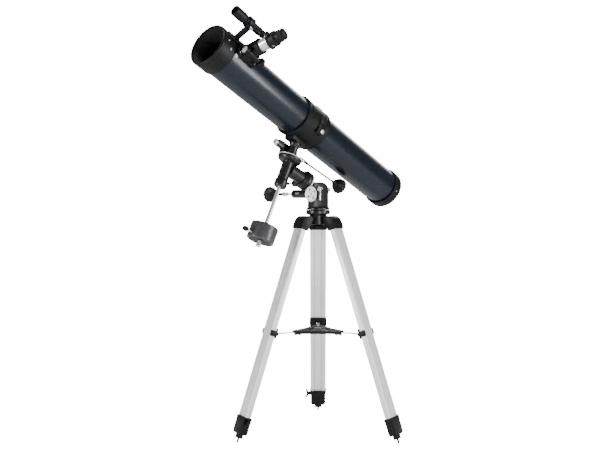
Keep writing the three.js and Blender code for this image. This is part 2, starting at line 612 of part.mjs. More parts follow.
function weightScrew() {
  const screw = rod("x", 2.5, ROD_R + 6, WEIGHT_R + 16, 10);
  const knob = prism(lobed(8, 1.2, 8, 3), 17).rotateY(Math.PI / 2).translate(WEIGHT_R + 14, 0, 0);
  return join(screw, knob);
}

function buildMount(parent) {
  const azimuth = group(parent, [0, 0, 0], [0, 0, POLAR_AZIMUTH]);
  add(azimuth, "azimuth_pillar", azimuthBase(), blackPaint);
  add(azimuth, "latitude_screw", latitudeScrew(), chrome, [0, 0, PIVOT_Z - 3]);
  add(azimuth, "latitude_handle", latitudeHandle(), chrome, [PIVOT_X, 0, PIVOT_Z]);
  const polar = group(azimuth, [crossX, 0, crossZ], [0, -LATITUDE, 0]);
  add(polar, "polar_housing", polarHousing(), blackPaint);
  add(polar, "ra_setting_circle", raCircle(), aluminium);
  const worm = group(polar, [-WORM_BACK, 0, -WORM_DROP]);
  add(worm, "ra_worm_case", raWormCase(), blackPaint);
  add(worm, "ra_worm", raWorm(), chrome);
  add(worm, "ra_worm_cover", wormCover(), aluminium, [0, COVER_AT, 0]);
  add(worm, "ra_slow_control", slowControl(101, RA_ROD_REACH), blackPlastic, [0, 0, 0], [Math.PI / 2, 0, 0]);
  add(worm, "ra_clamp_screw", polarClamp(), blackPlastic,
    [WORM_BACK + BOSS_AT, -40 - GAP, WORM_DROP - BOSS_DROP]);
  add(polar, "dec_housing", decHousing(), blackPaint);
  add(polar, "dec_setting_circle", decCircle(), aluminium);
  const decWormFrame = group(polar, [0, -DEC_WORM_SIDE, DEC_WORM_RISE]);
  add(decWormFrame, "dec_worm_case", decWormCase(), blackPaint);
  add(decWormFrame, "dec_worm", decWorm(), chrome);
  add(decWormFrame, "dec_slow_control", slowControl(79, DEC_ROD_REACH), blackPlastic, [0, 0, 0],
    [0, -Math.PI / 2, 0]);
  add(polar, "counterweight_rod", counterweightRod(), chrome);
  add(polar, "counterweight", weightWithHole(), greyIron, [0, 0, -WEIGHT_AT]);
  add(polar, "counterweight_screw", weightScrew(), blackPlastic, [0, 0, -WEIGHT_AT - WEIGHT_SCREW_DROP]);
  const declination = group(polar, [0, 0, 0], [0, 0, DEC_TURN]);
  add(declination, "dec_axle", decNeck(), blackPaint);
  return declination;
}

// ---- optical tube, in a frame whose X axis is the tube axis -------------------------------
const SEAM = THREE.MathUtils.degToRad(90); // seam of the clamshell, from the top of the tube
const CRADLE_MID = (CRADLE_FRONT - CRADLE_REAR) / 2;

function cradleShell() {
  const lip = 1.6;
  return revolve("x", [[TUBE_R + RUN, -CRADLE_REAR], [CRADLE_OUT + lip, -CRADLE_REAR],
    [CRADLE_OUT + lip, -CRADLE_REAR + 4], [CRADLE_OUT, -CRADLE_REAR + 6], [CRADLE_OUT, CRADLE_FRONT - 6],
    [CRADLE_OUT + lip, CRADLE_FRONT - 4], [CRADLE_OUT + lip, CRADLE_FRONT], [TUBE_R + RUN, CRADLE_FRONT],
    [TUBE_R + RUN, -CRADLE_REAR]], 36);
}

// everything within reach whose height is above the seam, which leans with the two seam lines
function aboveSeam(side) {
  const reach = 100;
  const y = Math.sin(SEAM) * reach;
  const z = Math.cos(SEAM) * reach;
  const low = side * GAP / 2;
  const wedge = [[0, low], [y, z + low], [y, reach], [-y, reach], [-y, z + low]];
  return prism(wedge, CRADLE_FRONT + CRADLE_REAR + 40)
    .rotateX(Math.PI / 2).rotateZ(Math.PI / 2).translate(-CRADLE_REAR - 20, 0, 0);
}

const HINGE_Y = -(CRADLE_OUT + 4.5) * Math.sin(SEAM);
const HINGE_Z = (CRADLE_OUT + 4.5) * Math.cos(SEAM);

function knuckles(first) {
  const width = 12;
  const count = 5;
  const low = first ? -6 : 0.2;
  return Array.from({ length: count }, (_, i) => i).filter((i) => i % 2 === first).map((i) => {
    const from = CRADLE_MID + (i - count / 2) * width + GAP / 2;
    return join(
      rod("x", 4, from, from + width - GAP, 10).translate(0, HINGE_Y, HINGE_Z),
      block(from, from + width - GAP, HINGE_Y, HINGE_Y + 6, HINGE_Z + low, HINGE_Z + low + 3.8),
    );
  });
}

const onHinge = (radius, from, to, sides) => rod("x", radius, from, to, sides).translate(0, HINGE_Y, HINGE_Z);

function cradleLower() {
  const shell = cut(cradleShell(), aboveSeam(-1));
  const foot = cut(
    block(-34, 34, -19, 19, -CRADLE_OUT - FOOT_DEPTH + GAP, -TUBE_R + 4),
    rod("x", TUBE_R + RUN, -60, 60, 36),
  );
  const relief = [-24, 0, 24].map((at) => onHinge(4 + RUN, CRADLE_MID + at - 6, CRADLE_MID + at + 6, 10));
  const catchBlock = seamBlock(LATCH_AT - LATCH_HALF, LATCH_AT + LATCH_HALF, -1);
  const pin = onHinge(1.8, CRADLE_MID - 32, CRADLE_MID + 32, 8);
  return join(cut(shell, ...relief), foot, ...knuckles(1), catchBlock, pin);
}

const LATCH_AT = -18;
const LATCH_HALF = 13;
const LATCH_DROP = 25; // latch screw below the seam

// a block that stands on the shell beside the camera-side seam
function seamBlock(from, to, side) {
  const y = CRADLE_OUT * Math.sin(SEAM);
  const z = CRADLE_OUT * Math.cos(SEAM);
  const low = side > 0 ? z + GAP : z - LATCH_DROP - 8;
  const high = side > 0 ? z + 22 : z - GAP;
  return cut(block(from, to, y - 12, y + 5.5, low, high), rod("x", TUBE_R + RUN + 2, -100, 100, 36));
}

function cradleUpper() {
  const shell = overlap(cradleShell(), aboveSeam(1));
  const relief = [-12, 12].map((at) => onHinge(4 + RUN, CRADLE_MID + at - 6, CRADLE_MID + at + 6, 10));
  const lug = cut(block(-48, -18, -14, 14, TUBE_R - 3, CRADLE_OUT + 6), rod("x", TUBE_R + RUN, -80, 80, 36));
  const latchSeat = seamBlock(LATCH_AT - LATCH_HALF, LATCH_AT + LATCH_HALF, 1);
  const bore = onHinge(1.8 + RUN / 2, CRADLE_MID - 60, CRADLE_MID + 60, 8);
  return cut(join(cut(shell, ...relief), lug, ...knuckles(0), latchSeat), bore);
}

function latchScrew() {
  const y = CRADLE_OUT * Math.sin(SEAM) + 5.5 + GAP;
  return join(
    rod("y", 5, y, y + 5, 10), rod("y", 7, y + 4, y + 9, 8),
  ).translate(LATCH_AT, 0, CRADLE_OUT * Math.cos(SEAM) - LATCH_DROP);
}

function mainTube() {
  const front = TUBE_FRONT - 6;
  const rear = -TUBE_REAR + 12;
  const wall = sleeve("x", TUBE_R - TUBE_WALL, TUBE_R, rear, front, 36);
  const port = rod("z", DRAW_R + 5, 20, 100, 22).rotateX(-FOCUSER_ANGLE).translate(FOCUSER_AT, 0, 0);
  return cut(wall, port);
}

function frontRing() {
  const rear = TUBE_FRONT - RING_LENGTH;
  return revolve("x", [[TUBE_R + GAP, rear], [RING_R - 1, rear], [RING_R, rear + 2], [RING_R, TUBE_FRONT - 3],
    [RING_R - 2.5, TUBE_FRONT], [TUBE_R - TUBE_WALL, TUBE_FRONT], [TUBE_R - TUBE_WALL - 1, TUBE_FRONT - 5.5],
    [TUBE_R + GAP, TUBE_FRONT - 5.5], [TUBE_R + GAP, rear]], 36);
}

function rearCell() {
  const front = -TUBE_REAR + CELL_LENGTH;
  const cup = revolve("x", [[0, -TUBE_REAR + 4], [20, -TUBE_REAR + 4], [40, -TUBE_REAR + 2],
    [CELL_R - 9, -TUBE_REAR], [CELL_R - 3, -TUBE_REAR + 2], [CELL_R, -TUBE_REAR + 7], [CELL_R, front - 1],
    [CELL_R - 1, front], [TUBE_R + GAP, front], [TUBE_R + GAP, -TUBE_REAR + 11],
    [MIRROR_R - 4, -TUBE_REAR + 11], [MIRROR_R - 6, -TUBE_REAR + 8], [0, -TUBE_REAR + 8]], 36);
  const screws = Array.from({ length: 3 }, (_, i) => {
    const angle = (i * 2 * Math.PI) / 3;
    return rod("x", 5, -TUBE_REAR - 2, -TUBE_REAR + 5, 10)
      .translate(0, 34 * Math.cos(angle), 34 * Math.sin(angle));
  });
  return join(cup, ...screws);
}

function primaryMirror() {
  const back = -TUBE_REAR + 12;
  const sag = (radius) => (radius * radius) / (4 * 900);
  const face = back + MIRROR_THICK;
  const dish = [1, 0.75, 0.5, 0.25, 0].map((share) => {
    const radius = MIRROR_R * share;
    return [radius, face - sag(MIRROR_R) + sag(radius)];
  });
  return revolve("x", [[0, back], [MIRROR_R, back], ...dish], 36);
}

const SPIDER_HUB_R = 14;

function spider() {
  const at = FOCUSER_AT + 30;
  const ring = sleeve("x", TUBE_R - TUBE_WALL - 2.4, TUBE_R - TUBE_WALL - GAP, at + 6, at + 18, 36);
  const hubPiece = rod("x", SPIDER_HUB_R, at, at + 24, 16);
  const vanes = Array.from({ length: 3 }, (_, i) =>
    block(at + 8, at + 16, -0.6, 0.6, 4, TUBE_R - TUBE_WALL - 1).rotateX((i * 2 * Math.PI) / 3));
  const stalk = cut(
    rod("x", 15, FOCUSER_AT - 20, at + 1, 16),
    slantedSlab(),
  );
  return join(ring, hubPiece, ...vanes, stalk);
}

// the half space behind the diagonal mirror, as a slab that faces both the focuser and the primary
function slantedSlab() {
  return block(-60, 60, -60, 60, 0, 60).rotateY(-Math.PI / 4).rotateX(-FOCUSER_ANGLE)
    .translate(FOCUSER_AT, 0, 0);
}

function secondaryMirror() {
  const plate = new THREE.CylinderGeometry(13, 13, 4, 22).rotateX(Math.PI / 2).scale(1.38, 1, 1);
  return plate.translate(0, 0, 2 + GAP).rotateY(-Math.PI / 4).rotateX(-FOCUSER_ANGLE)
    .translate(FOCUSER_AT, 0, 0);
}

// focuser frame: origin on the tube axis, Z out through the focuser, X along the tube
function focuserBody() {
  const base = cut(
    join(block(-34, 34, -24, 24, TUBE_R - 14, TUBE_R + 6), revolve("z", [[0, TUBE_R], [26, TUBE_R],
      [24, TUBE_R + 14], [DRAW_R + 5, TUBE_R + 22], [DRAW_R + 5, FOCUSER_TOP - 3], [DRAW_R + 4, FOCUSER_TOP],
      [0, FOCUSER_TOP]], 24)),
    rod("x", TUBE_R + GAP, -60, 60, 36),
  );
  const shaftCase = rod("x", 8.5, -25, 20, 14).translate(0, FOCUS_SHAFT_SIDE, FOCUS_SHAFT_RISE);
  const bridge = block(-20, 20, 4, FOCUS_SHAFT_SIDE, FOCUS_SHAFT_RISE - 8, FOCUS_SHAFT_RISE + 8);
  const bore = rod("z", DRAW_R + RUN, 40, FOCUSER_TOP + 1, 24);
  const shaftBore = rod("x", FOCUS_SHAFT_R + RUN, -30, 30, 10)
    .translate(0, FOCUS_SHAFT_SIDE, FOCUS_SHAFT_RISE);
  return cut(join(base, shaftCase, bridge), bore, shaftBore);
}

function drawTube() {
  const low = 62;
  const tube = sleeve("z", DRAW_BORE, DRAW_R, low, HOLDER_AT + 1, 24);
  const holder = revolve("z", [[DRAW_BORE, HOLDER_AT], [HOLDER_R, HOLDER_AT], [HOLDER_R, HOLDER_AT + 6],
    [HOLDER_R - 2, HOLDER_AT + 8], [HOLDER_R - 2, HOLDER_AT + HOLDER_LENGTH - 3],
    [HOLDER_R - 3, HOLDER_AT + HOLDER_LENGTH], [DRAW_BORE, HOLDER_AT + HOLDER_LENGTH],
    [DRAW_BORE, HOLDER_AT]], 24);
  const hole = rod("x", 2.2, DRAW_BORE - 2, HOLDER_R + 2, 8).translate(0, 0, HOLDER_AT + 16);
  return cut(join(tube, holder), hole);
}

function eyepieceScrew() {
  return join(
    rod("x", 1.8, EYEPIECE_R + 1, HOLDER_R + 3, 8), rod("x", 5, HOLDER_R + 1, HOLDER_R + 9, 8),
  ).translate(0, 0, HOLDER_AT + 16);
}

function eyepiece() {
  const seat = HOLDER_AT + HOLDER_LENGTH + GAP;
  return revolve("z", [[0, seat - 26], [EYEPIECE_R, seat - 26], [EYEPIECE_R, seat], [17.5, seat],
    [17.5, seat + 14], [16, seat + 16], [16, EYE_TOP - 6], [17, EYE_TOP - 4], [16, EYE_TOP],
    [9, EYE_TOP], [7, EYE_TOP - 4], [0, EYE_TOP - 4]], 24);
}

function focusKnobs() {
  const shaft = rod("x", FOCUS_SHAFT_R, -DRAW_R - 19, DRAW_R + 15, 10);
  const knob = revolve("x", [[0, 0], [11, 0], [14, 3], [14, 11], [12.5, 13], [0, 13]], 20);
  const front = knob.clone().translate(DRAW_R + 4.2, 0, 0);
  const rear = knob.clone().rotateY(Math.PI).translate(-DRAW_R - 9.7, 0, 0);
  return join(shaft, front, rear);
}

// finder frame: origin on the tube axis, Z out through the finder, X along the tube
const FINDER_GAP = 2; // play that the adjusting screws take up
const RING_OUT = 17;

function finderTube() {
  const low = FINDER_REAR;
  const outline = [[0, low], [8.5, low], [9.5, low + 2], [9.5, low + 16], [FINDER_R, low + 19],
    [FINDER_R, FINDER_FRONT - 48], [14.5, FINDER_FRONT - 40], [15, FINDER_FRONT - 3], [14, FINDER_FRONT],
    [12.5, FINDER_FRONT], [12.5, FINDER_FRONT - 14], [0, FINDER_FRONT - 14]];
  return revolve("x", outline, 22);
}

function finderBracket() {
  const half = 7;
  const ring = sleeve(
    "x", FINDER_R + FINDER_GAP, RING_OUT, FINDER_RING_AT - half - 3, FINDER_RING_AT + half, 22,
  ).translate(0, 0, FINDER_RISE);
  const stalk = block(FINDER_RING_AT - 17, FINDER_RING_AT - 4, -7, 7, TUBE_R + 6, FINDER_RISE - RING_OUT + 4);
  const foot = cut(
    block(FINDER_RING_AT - 26, FINDER_RING_AT + 16, -11, 11, TUBE_R - 6, TUBE_R + 8),
    rod("x", RING_R + GAP, FINDER_RING_AT - 60, FINDER_RING_AT + 60, 36),
  );
  return join(ring, stalk, foot);
}

function finderScrew() {
  return join(rod("y", 1.8, RING_OUT + GAP, 26, 8), rod("y", 4.5, 24, 33, 10))
    .translate(FINDER_RING_AT, 0, FINDER_RISE);
}

function buildTube(declination) {
  const tube = group(declination, [0, 0, TUBE_RISE]);
  add(tube, "cradle_lower", cradleLower(), blackPlastic);
  add(tube, "cradle_upper", cradleUpper(), blackPlastic);
  add(tube, "cradle_latch_screw", latchScrew(), chrome);
  add(tube, "main_tube", mainTube(), navyPaint);
  add(tube, "front_ring", frontRing(), blackPlastic);
  add(tube, "mirror_cell", rearCell(), blackPlastic);
  add(tube, "primary_mirror", primaryMirror(), glass);
  add(tube, "secondary_spider", spider(), blackPaint);
  add(tube, "secondary_mirror", secondaryMirror(), glass);
  const focuser = group(tube, [FOCUSER_AT, 0, 0], [-FOCUSER_ANGLE, 0, 0]);
  add(focuser, "focuser_body", focuserBody(), blackPlastic);
  add(focuser, "draw_tube", drawTube(), chrome);
  add(focuser, "eyepiece", eyepiece(), blackPlastic);
  add(focuser, "eyepiece_screw", eyepieceScrew(), blackPlastic);
  add(focuser, "focus_knobs", focusKnobs(), blackPlastic, [0, FOCUS_SHAFT_SIDE, FOCUS_SHAFT_RISE]);
  const finder = group(tube, [0, 0, 0], [-FINDER_ANGLE, 0, 0]);
  add(finder, "finder_bracket", finderBracket(), blackPlastic);
  add(finder, "finder_scope", finderTube(), blackPaint, [0, 0, FINDER_RISE]);
  add(finder, "finder_screw", finderScrew(), chrome);
}

// ---- the whole telescope, moved so that the origin is under the middle of its box ---------
const telescope = new THREE.Group();
const placed = group(telescope);
buildTripod(placed);
buildTube(buildMount(placed));
telescope.updateMatrixWorld(true);
const reach = new THREE.Box3().setFromObject(telescope, true);
const middle = reach.getCenter(new THREE.Vector3());
placed.position.set(-middle.x, -middle.y, -reach.min.z);

export default telescope;
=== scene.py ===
import json
import math
import bpy
import bmesh
from mathutils import Matrix, Vector


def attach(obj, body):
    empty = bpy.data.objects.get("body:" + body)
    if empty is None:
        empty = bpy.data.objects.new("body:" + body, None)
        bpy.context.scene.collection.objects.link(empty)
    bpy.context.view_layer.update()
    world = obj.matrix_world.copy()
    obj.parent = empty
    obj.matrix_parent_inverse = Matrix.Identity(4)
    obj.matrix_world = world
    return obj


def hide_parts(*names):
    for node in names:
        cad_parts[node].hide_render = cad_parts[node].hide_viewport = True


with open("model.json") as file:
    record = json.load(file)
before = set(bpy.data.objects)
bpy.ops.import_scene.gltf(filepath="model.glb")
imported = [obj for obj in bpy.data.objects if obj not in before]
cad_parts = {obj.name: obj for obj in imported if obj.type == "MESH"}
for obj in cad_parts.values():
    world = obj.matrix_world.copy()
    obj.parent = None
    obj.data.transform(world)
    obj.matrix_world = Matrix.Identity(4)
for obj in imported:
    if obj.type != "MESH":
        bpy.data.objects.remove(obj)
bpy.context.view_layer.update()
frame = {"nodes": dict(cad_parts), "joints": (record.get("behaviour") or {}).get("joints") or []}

# ---- studio -------------------------------------------------------------------------------
# A pale floor, a pale room and five large soft lamps. The camera stands 2.7 m in front of the
# tripod at 0.72 m, so it looks slightly up at the tube and slightly down at the feet.
joints = {joint["name"]: joint for joint in frame["joints"]}
axis_foot = Vector(joints["azimuth"]["pos_m"])


def studio_color(name, color, roughness, glow):
    material = bpy.data.materials.new(name)
    material.use_nodes = True
    nodes, links = material.node_tree.nodes, material.node_tree.links
    shader = nodes["Principled BSDF"]
    noise = nodes.new("ShaderNodeTexNoise")
    noise.inputs["Scale"].default_value = 3
    place = nodes.new("ShaderNodeTexCoord")
    tint = nodes.new("ShaderNodeMix")
    tint.data_type = "RGBA"
    tint.inputs["A"].default_value = (*color, 1)
    tint.inputs["B"].default_value = (*[value * 0.985 for value in color], 1)
    links.new(place.outputs["Object"], noise.inputs["Vector"])
    links.new(noise.outputs["Fac"], tint.inputs["Factor"])
    links.new(tint.outputs["Result"], shader.inputs["Base Color"])
    links.new(tint.outputs["Result"], shader.inputs["Emission Color"])
    seen = nodes.new("ShaderNodeLightPath")
    camera_glow = nodes.new("ShaderNodeMath")
    camera_glow.operation = "MULTIPLY"
    camera_glow.inputs[1].default_value = glow
    links.new(seen.outputs["Is Camera Ray"], camera_glow.inputs[0])
    links.new(camera_glow.outputs[0], shader.inputs["Emission Strength"])
    shader.inputs["Roughness"].default_value = roughness
    shader.inputs["Specular IOR Level"].default_value = 0.1
    return material


bpy.ops.mesh.primitive_plane_add(size=14, location=(axis_foot.x, axis_foot.y + 2.5, -0.0005))
floor = bpy.context.object
floor.name = "floor"
floor.data.materials.append(studio_color("pale floor", (0.92, 0.92, 0.92), 0.9, 17))

room = bpy.data.worlds.new("room")
room.use_nodes = True
walls = room.node_tree
backdrop = walls.nodes["Background"]
backdrop.inputs["Color"].default_value = (1, 1, 1, 1)
backdrop.inputs["Strength"].default_value = 16
dim = walls.nodes.new("ShaderNodeBackground")
dim.inputs["Color"].default_value = (0.95, 0.96, 1, 1)
dim.inputs["Strength"].default_value = 0.2
seen = walls.nodes.new("ShaderNodeLightPath")
either = walls.nodes.new("ShaderNodeMixShader")
walls.links.new(seen.outputs["Is Camera Ray"], either.inputs["Fac"])
walls.links.new(dim.outputs["Background"], either.inputs[1])
walls.links.new(backdrop.outputs["Background"], either.inputs[2])
walls.links.new(either.outputs["Shader"], walls.nodes["World Output"].inputs["Surface"])
bpy.context.scene.world = room


def lamp(name, position, width, height, power):
    data = bpy.data.lights.new(name, "AREA")
    data.shape = "RECTANGLE"
    data.size, data.size_y, data.energy = width, height, power
    fixture = bpy.data.objects.new(name, data)
    fixture.location = axis_foot + Vector(position)
    aim = axis_foot + Vector((0, 0, 0.75)) - fixture.location
    fixture.rotation_euler = aim.to_track_quat("-Z", "Y").to_euler()
    bpy.context.collection.objects.link(fixture)


lamp("top lamp", (-0.5, -0.6, 3.0), 0.5, 0.8, 46)
lamp("left lamp", (-2.4, -1.5, 0.9), 0.4, 1.8, 62)
lamp("right lamp", (2.5, -1.1, 0.8), 0.5, 2.0, 66)
lamp("front lamp", (0.9, -2.9, 0.5), 0.9, 0.5, 30)
lamp("rear lamp", (0.6, 2.6, 1.9), 1.8, 1.2, 26)

camera_data = bpy.data.cameras.new("camera")
camera_data.lens = 51.65
camera_data.sensor_width = 36
camera = bpy.data.objects.new("camera", camera_data)
camera.location = axis_foot + Vector((0.0047, -2.7069, 0.7181))
camera.rotation_euler = (math.radians(90 - 1.35), 0, math.radians(1.3))
bpy.context.collection.objects.link(camera)
bpy.context.scene.camera = camera

# ---- tripod hub ---------------------------------------------------------------------------
# A die-cast head in satin black paint: a flange that the mount stands on, a skirt, and three
# ears that the legs are pinned to. Its bore takes the mount's bolt.
MM = 0.001


def frame_at(origin, x_axis, z_axis):
    """a matrix from millimetres in a piece's own axes to metres in the telescope's"""
    z = Vector(z_axis).normalized()
    x = (Vector(x_axis) - z * Vector(x_axis).dot(z)).normalized()
    turn = Matrix((x, z.cross(x), z)).transposed().to_4x4()
    return Matrix.Translation(origin) @ turn @ Matrix.Scale(MM, 4)


def rounded(outline, closed, steps=4):
    """the outline with each corner that has a third value drawn as a curve of that size"""
    path = []
    for index, corner in enumerate(outline):
        here = Vector(corner[:2])
        inner = closed or 0 < index < len(outline) - 1
        if len(corner) < 3 or not corner[2] or not inner:
            path.append(here)
            continue
        back = Vector(outline[index - 1][:2]) - here
        ahead = Vector(outline[(index + 1) % len(outline)][:2]) - here
        reach = min(corner[2], back.length * 0.49, ahead.length * 0.49)
        start, end = here + back.normalized() * reach, here + ahead.normalized() * reach
        for step in range(steps + 1):
            t = step / steps
            path.append(start * (1 - t) ** 2 + here * (2 * t * (1 - t)) + end * t * t)
    return path


LAY = {"x": Matrix.Rotation(math.pi / 2, 4, "Y"), "y": Matrix.Rotation(-math.pi / 2, 4, "X"), "z": Matrix()}


def moved(shape, matrix):
    bmesh.ops.transform(shape, matrix=matrix, verts=shape.verts)
    return shape


def shifted(shape, x=0.0, y=0.0, z=0.0):
    return moved(shape, Matrix.Translation((x, y, z)))


def turned(axis, outline, sides=72, closed=False, lobes=0, depth=0.0):
    """a lathe form from its (radius, height) outline, bottom to top, with lobes round it if wanted"""
    shape = bmesh.new()
    path = rounded(outline, closed)
    widest = max(point.x for point in path)
    rings = []
    for radius, height in path:
        if radius < 1e-6:
            rings.append([shape.verts.new((0, 0, height))])
            continue
        ring = []
        for i in range(sides):
            angle = 2 * math.pi * i / sides
            hollow = depth * (1 - math.cos(lobes * angle)) / 2 * (radius / widest) ** 2
            reach = radius - hollow
            ring.append(shape.verts.new((reach * math.cos(angle), reach * math.sin(angle), height)))
        rings.append(ring)
    for low, high in zip(rings, rings[1:] + (rings[:1] if closed else [])):
        for i in range(sides):
            j = (i + 1) % sides
            if len(low) == 1 and len(high) == 1:
                break
            if len(low) == 1:
                shape.faces.new((low[0], high[j], high[i]))
            elif len(high) == 1:
                shape.faces.new((low[i], low[j], high[0]))
            else:
                shape.faces.new((low[i], low[j], high[j], high[i]))
    bmesh.ops.recalc_face_normals(shape, faces=shape.faces)
    return moved(shape, LAY[axis])


def bar(axis, radius, start, end, edge=0.5, sides=40):
    return turned(axis, [(0, start), (radius, start, edge), (radius, end, edge), (0, end)], sides)


def sleeve(axis, inner, outer, start, end, edge=0.4, sides=96):
    outline = [(inner, start, edge), (outer, start, edge), (outer, end, edge), (inner, end, edge)]
    return turned(axis, outline, sides, closed=True)


def soft_edges(shape, width, least=0.5):
    """rounds every edge that turns by more than the least angle"""
    sharp = [edge for edge in shape.edges if edge.is_manifold and edge.calc_face_angle(0) > least]
    bmesh.ops.bevel(shape, geom=sharp, offset=width, segments=3, profile=0.5, affect="EDGES",
                    clamp_overlap=True)
    return shape


def block(x0, x1, y0, y1, z0, z1, edge=0.8):
    shape = bmesh.new()
    bmesh.ops.create_cube(shape, size=1)
    size = Matrix.Diagonal((x1 - x0, y1 - y0, z1 - z0, 1))
    moved(shape, Matrix.Translation(((x0 + x1) / 2, (y0 + y1) / 2, (z0 + z1) / 2)) @ size)
    return soft_edges(shape, edge) if edge else shape


def plate(outline, bottom, top, edge=0.0, steps=4):
    """a flat piece cut to the outline in X and Y"""
    shape = bmesh.new()
    path = rounded(outline, True, steps)
    low = [shape.verts.new((x, y, bottom)) for x, y in path]
    high = [shape.verts.new((x, y, top)) for x, y in path]
    shape.faces.new(list(reversed(low)))
    shape.faces.new(high)
    for i in range(len(path)):
        j = (i + 1) % len(path)
        shape.faces.new((low[i], low[j], high[j], high[i]))
    bmesh.ops.recalc_face_normals(shape, faces=shape.faces)
    return soft_edges(shape, edge, 0.9) if edge else shape


STAND_UP = Matrix.Rotation(math.pi / 2, 4, "X")  # a plate's Y becomes Z, its thickness runs along -Y


def side_plate(outline, width, edge=0.0, steps=4):
    return moved(plate(outline, -width / 2, width / 2, edge, steps), STAND_UP)


def as_object(shape):
    mesh = bpy.data.meshes.new("blank")
    shape.to_mesh(mesh)
    made = bpy.data.objects.new("blank", mesh)
    bpy.context.collection.objects.link(made)
    return made


def worked(shape, tools, operation="DIFFERENCE"):
    """cuts the tools out of a shape, or keeps what it shares with them"""
    stock = as_object(shape)
    cutters = [as_object(tool) for tool in tools]
    for cutter in cutters:
        step = stock.modifiers.new("step", "BOOLEAN")
        step.operation, step.object, step.solver = operation, cutter, "EXACT"
    bpy.context.view_layer.update()
    result = bpy.data.meshes.new_from_object(stock.evaluated_get(bpy.context.evaluated_depsgraph_get()))
    made = bmesh.new()
    made.from_mesh(result)
    for spent in [stock, *cutters]:
        bpy.data.objects.remove(spent)
    bpy.data.meshes.remove(result)
    for used in [shape, *tools]:
        used.free()
    return made


def piece(name, place, parts, body, finish_slot, *nodes, crease=35):
    """joins (shape, material) pairs into one finished piece that rides on a body"""
    whole = bmesh.new()
    materials = []
    for shape, material in parts:
        if material not in materials:
            materials.append(material)
        for face in shape.faces:
            face.material_index = materials.index(material)
        part = bpy.data.meshes.new("part")
        moved(shape, place).to_mesh(part)
        whole.from_mesh(part)
        bpy.data.meshes.remove(part)
        shape.free()
    mesh = bpy.data.meshes.new(name)
    whole.to_mesh(mesh)
    whole.free()
    for material in materials:
        mesh.materials.append(material)
    mesh.polygons.foreach_set("use_smooth", [True] * len(mesh.polygons))
    mesh.set_sharp_from_angle(angle=math.radians(crease))
    made = bpy.data.objects.new(name, mesh)
    bpy.context.collection.objects.link(made)
    if nodes:
        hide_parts(*nodes)
    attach(made, body)
    return made


def shader_group(name, inputs, outputs):
    tree = bpy.data.node_groups.new(name, "ShaderNodeTree")
    for label, kind, value in inputs:
        tree.interface.new_socket(label, in_out="INPUT", socket_type=kind).default_value = value
    for label, kind in outputs:
        tree.interface.new_socket(label, in_out="OUTPUT", socket_type=kind)
    return tree, tree.nodes.new("NodeGroupInput"), tree.nodes.new("NodeGroupOutput")


def calculate(tree, operation, *values):
    node = tree.nodes.new("ShaderNodeMath")
    node.operation = operation
    for socket, value in zip(node.inputs, values):
        if isinstance(value, (int, float)):
            socket.default_value = value
        else:
            tree.links.new(value, socket)
    return node.outputs[0]


def noise_at(tree, vector, scale, detail=3.0):
    node = tree.nodes.new("ShaderNodeTexNoise")
    node.inputs["Detail"].default_value = detail
    tree.links.new(vector, node.inputs["Vector"])
    if isinstance(scale, (int, float)):
        node.inputs["Scale"].default_value = scale
    else:
        tree.links.new(scale, node.inputs["Scale"])
    return node.outputs["Fac"]


def blended(tree, share, first, second):
    node = tree.nodes.new("ShaderNodeMix")
    node.data_type = "RGBA"
    tree.links.new(share, node.inputs["Factor"])
    for value, socket in ((first, node.inputs["A"]), (second, node.inputs["B"])):
        if isinstance(value, tuple):
            socket.default_value = value
        else:
            tree.links.new(value, socket)
    return node.outputs["Result"]


# handled surface: a fine grain in the height, slow blotches in the colour and the gloss
handled, given, put = shader_group("handled surface", [
    ("Color", "NodeSocketColor", (0.1, 0.1, 0.1, 1)), ("Dull Color", "NodeSocketColor", (0.1, 0.1, 0.1, 1)),
    ("Roughness", "NodeSocketFloat", 0.4), ("Spread", "NodeSocketFloat", 0.1),
    ("Grain", "NodeSocketFloat", 900.0),
], [("Color", "NodeSocketColor"), ("Roughness", "NodeSocketFloat"), ("Height", "NodeSocketFloat")])
where = handled.nodes.new("ShaderNodeTexCoord").outputs["Object"]
blotch = noise_at(handled, where, 26, 4)
grain = noise_at(handled, where, given.outputs["Grain"], 2)
shade = calculate(handled, "MULTIPLY_ADD", blotch, 1.6, -0.3)
handled.links.new(blended(handled, shade, given.outputs["Color"], given.outputs["Dull Color"]),
                  put.inputs["Color"])
uneven = calculate(handled, "MULTIPLY_ADD", blotch, given.outputs["Spread"], given.outputs["Roughness"])
fine = calculate(handled, "MULTIPLY_ADD", grain,
                 calculate(handled, "MULTIPLY", given.outputs["Spread"], 0.5), uneven)
handled.links.new(fine, put.inputs["Roughness"])
handled.links.new(grain, put.inputs["Height"])


def finish(name, group, values, bump, metallic=0.0, coat=0.0, coat_roughness=0.1, specular=0.5):
    material = bpy.data.materials.new(name)
    material.use_nodes = True
    tree = material.node_tree
    shader = tree.nodes["Principled BSDF"]
    effect = tree.nodes.new("ShaderNodeGroup")
    effect.node_tree = group
    for label, value in values.items():
        effect.inputs[label].default_value = value
    tree.links.new(effect.outputs["Color"], shader.inputs["Base Color"])
    tree.links.new(effect.outputs["Roughness"], shader.inputs["Roughness"])
    if bump:
        relief = tree.nodes.new("ShaderNodeBump")
        relief.inputs["Strength"].default_value = 1
        relief.inputs["Distance"].default_value = bump * MM
        tree.links.new(effect.outputs["Height"], relief.inputs["Height"])
        tree.links.new(relief.outputs["Normal"], shader.inputs["Normal"])
    shader.inputs["Metallic"].default_value = metallic
    shader.inputs["Coat Weight"].default_value = coat
    shader.inputs["Coat Roughness"].default_value = coat_roughness
    shader.inputs["Specular IOR Level"].default_value = specular
    return material


def plain(name, color, dull, roughness, spread, grain, bump, **more):
    values = {"Color": (*color, 1), "Dull Color": (*dull, 1), "Roughness": roughness, "Spread": spread,
              "Grain": grain}
    return finish(name, handled, values, bump, **more)


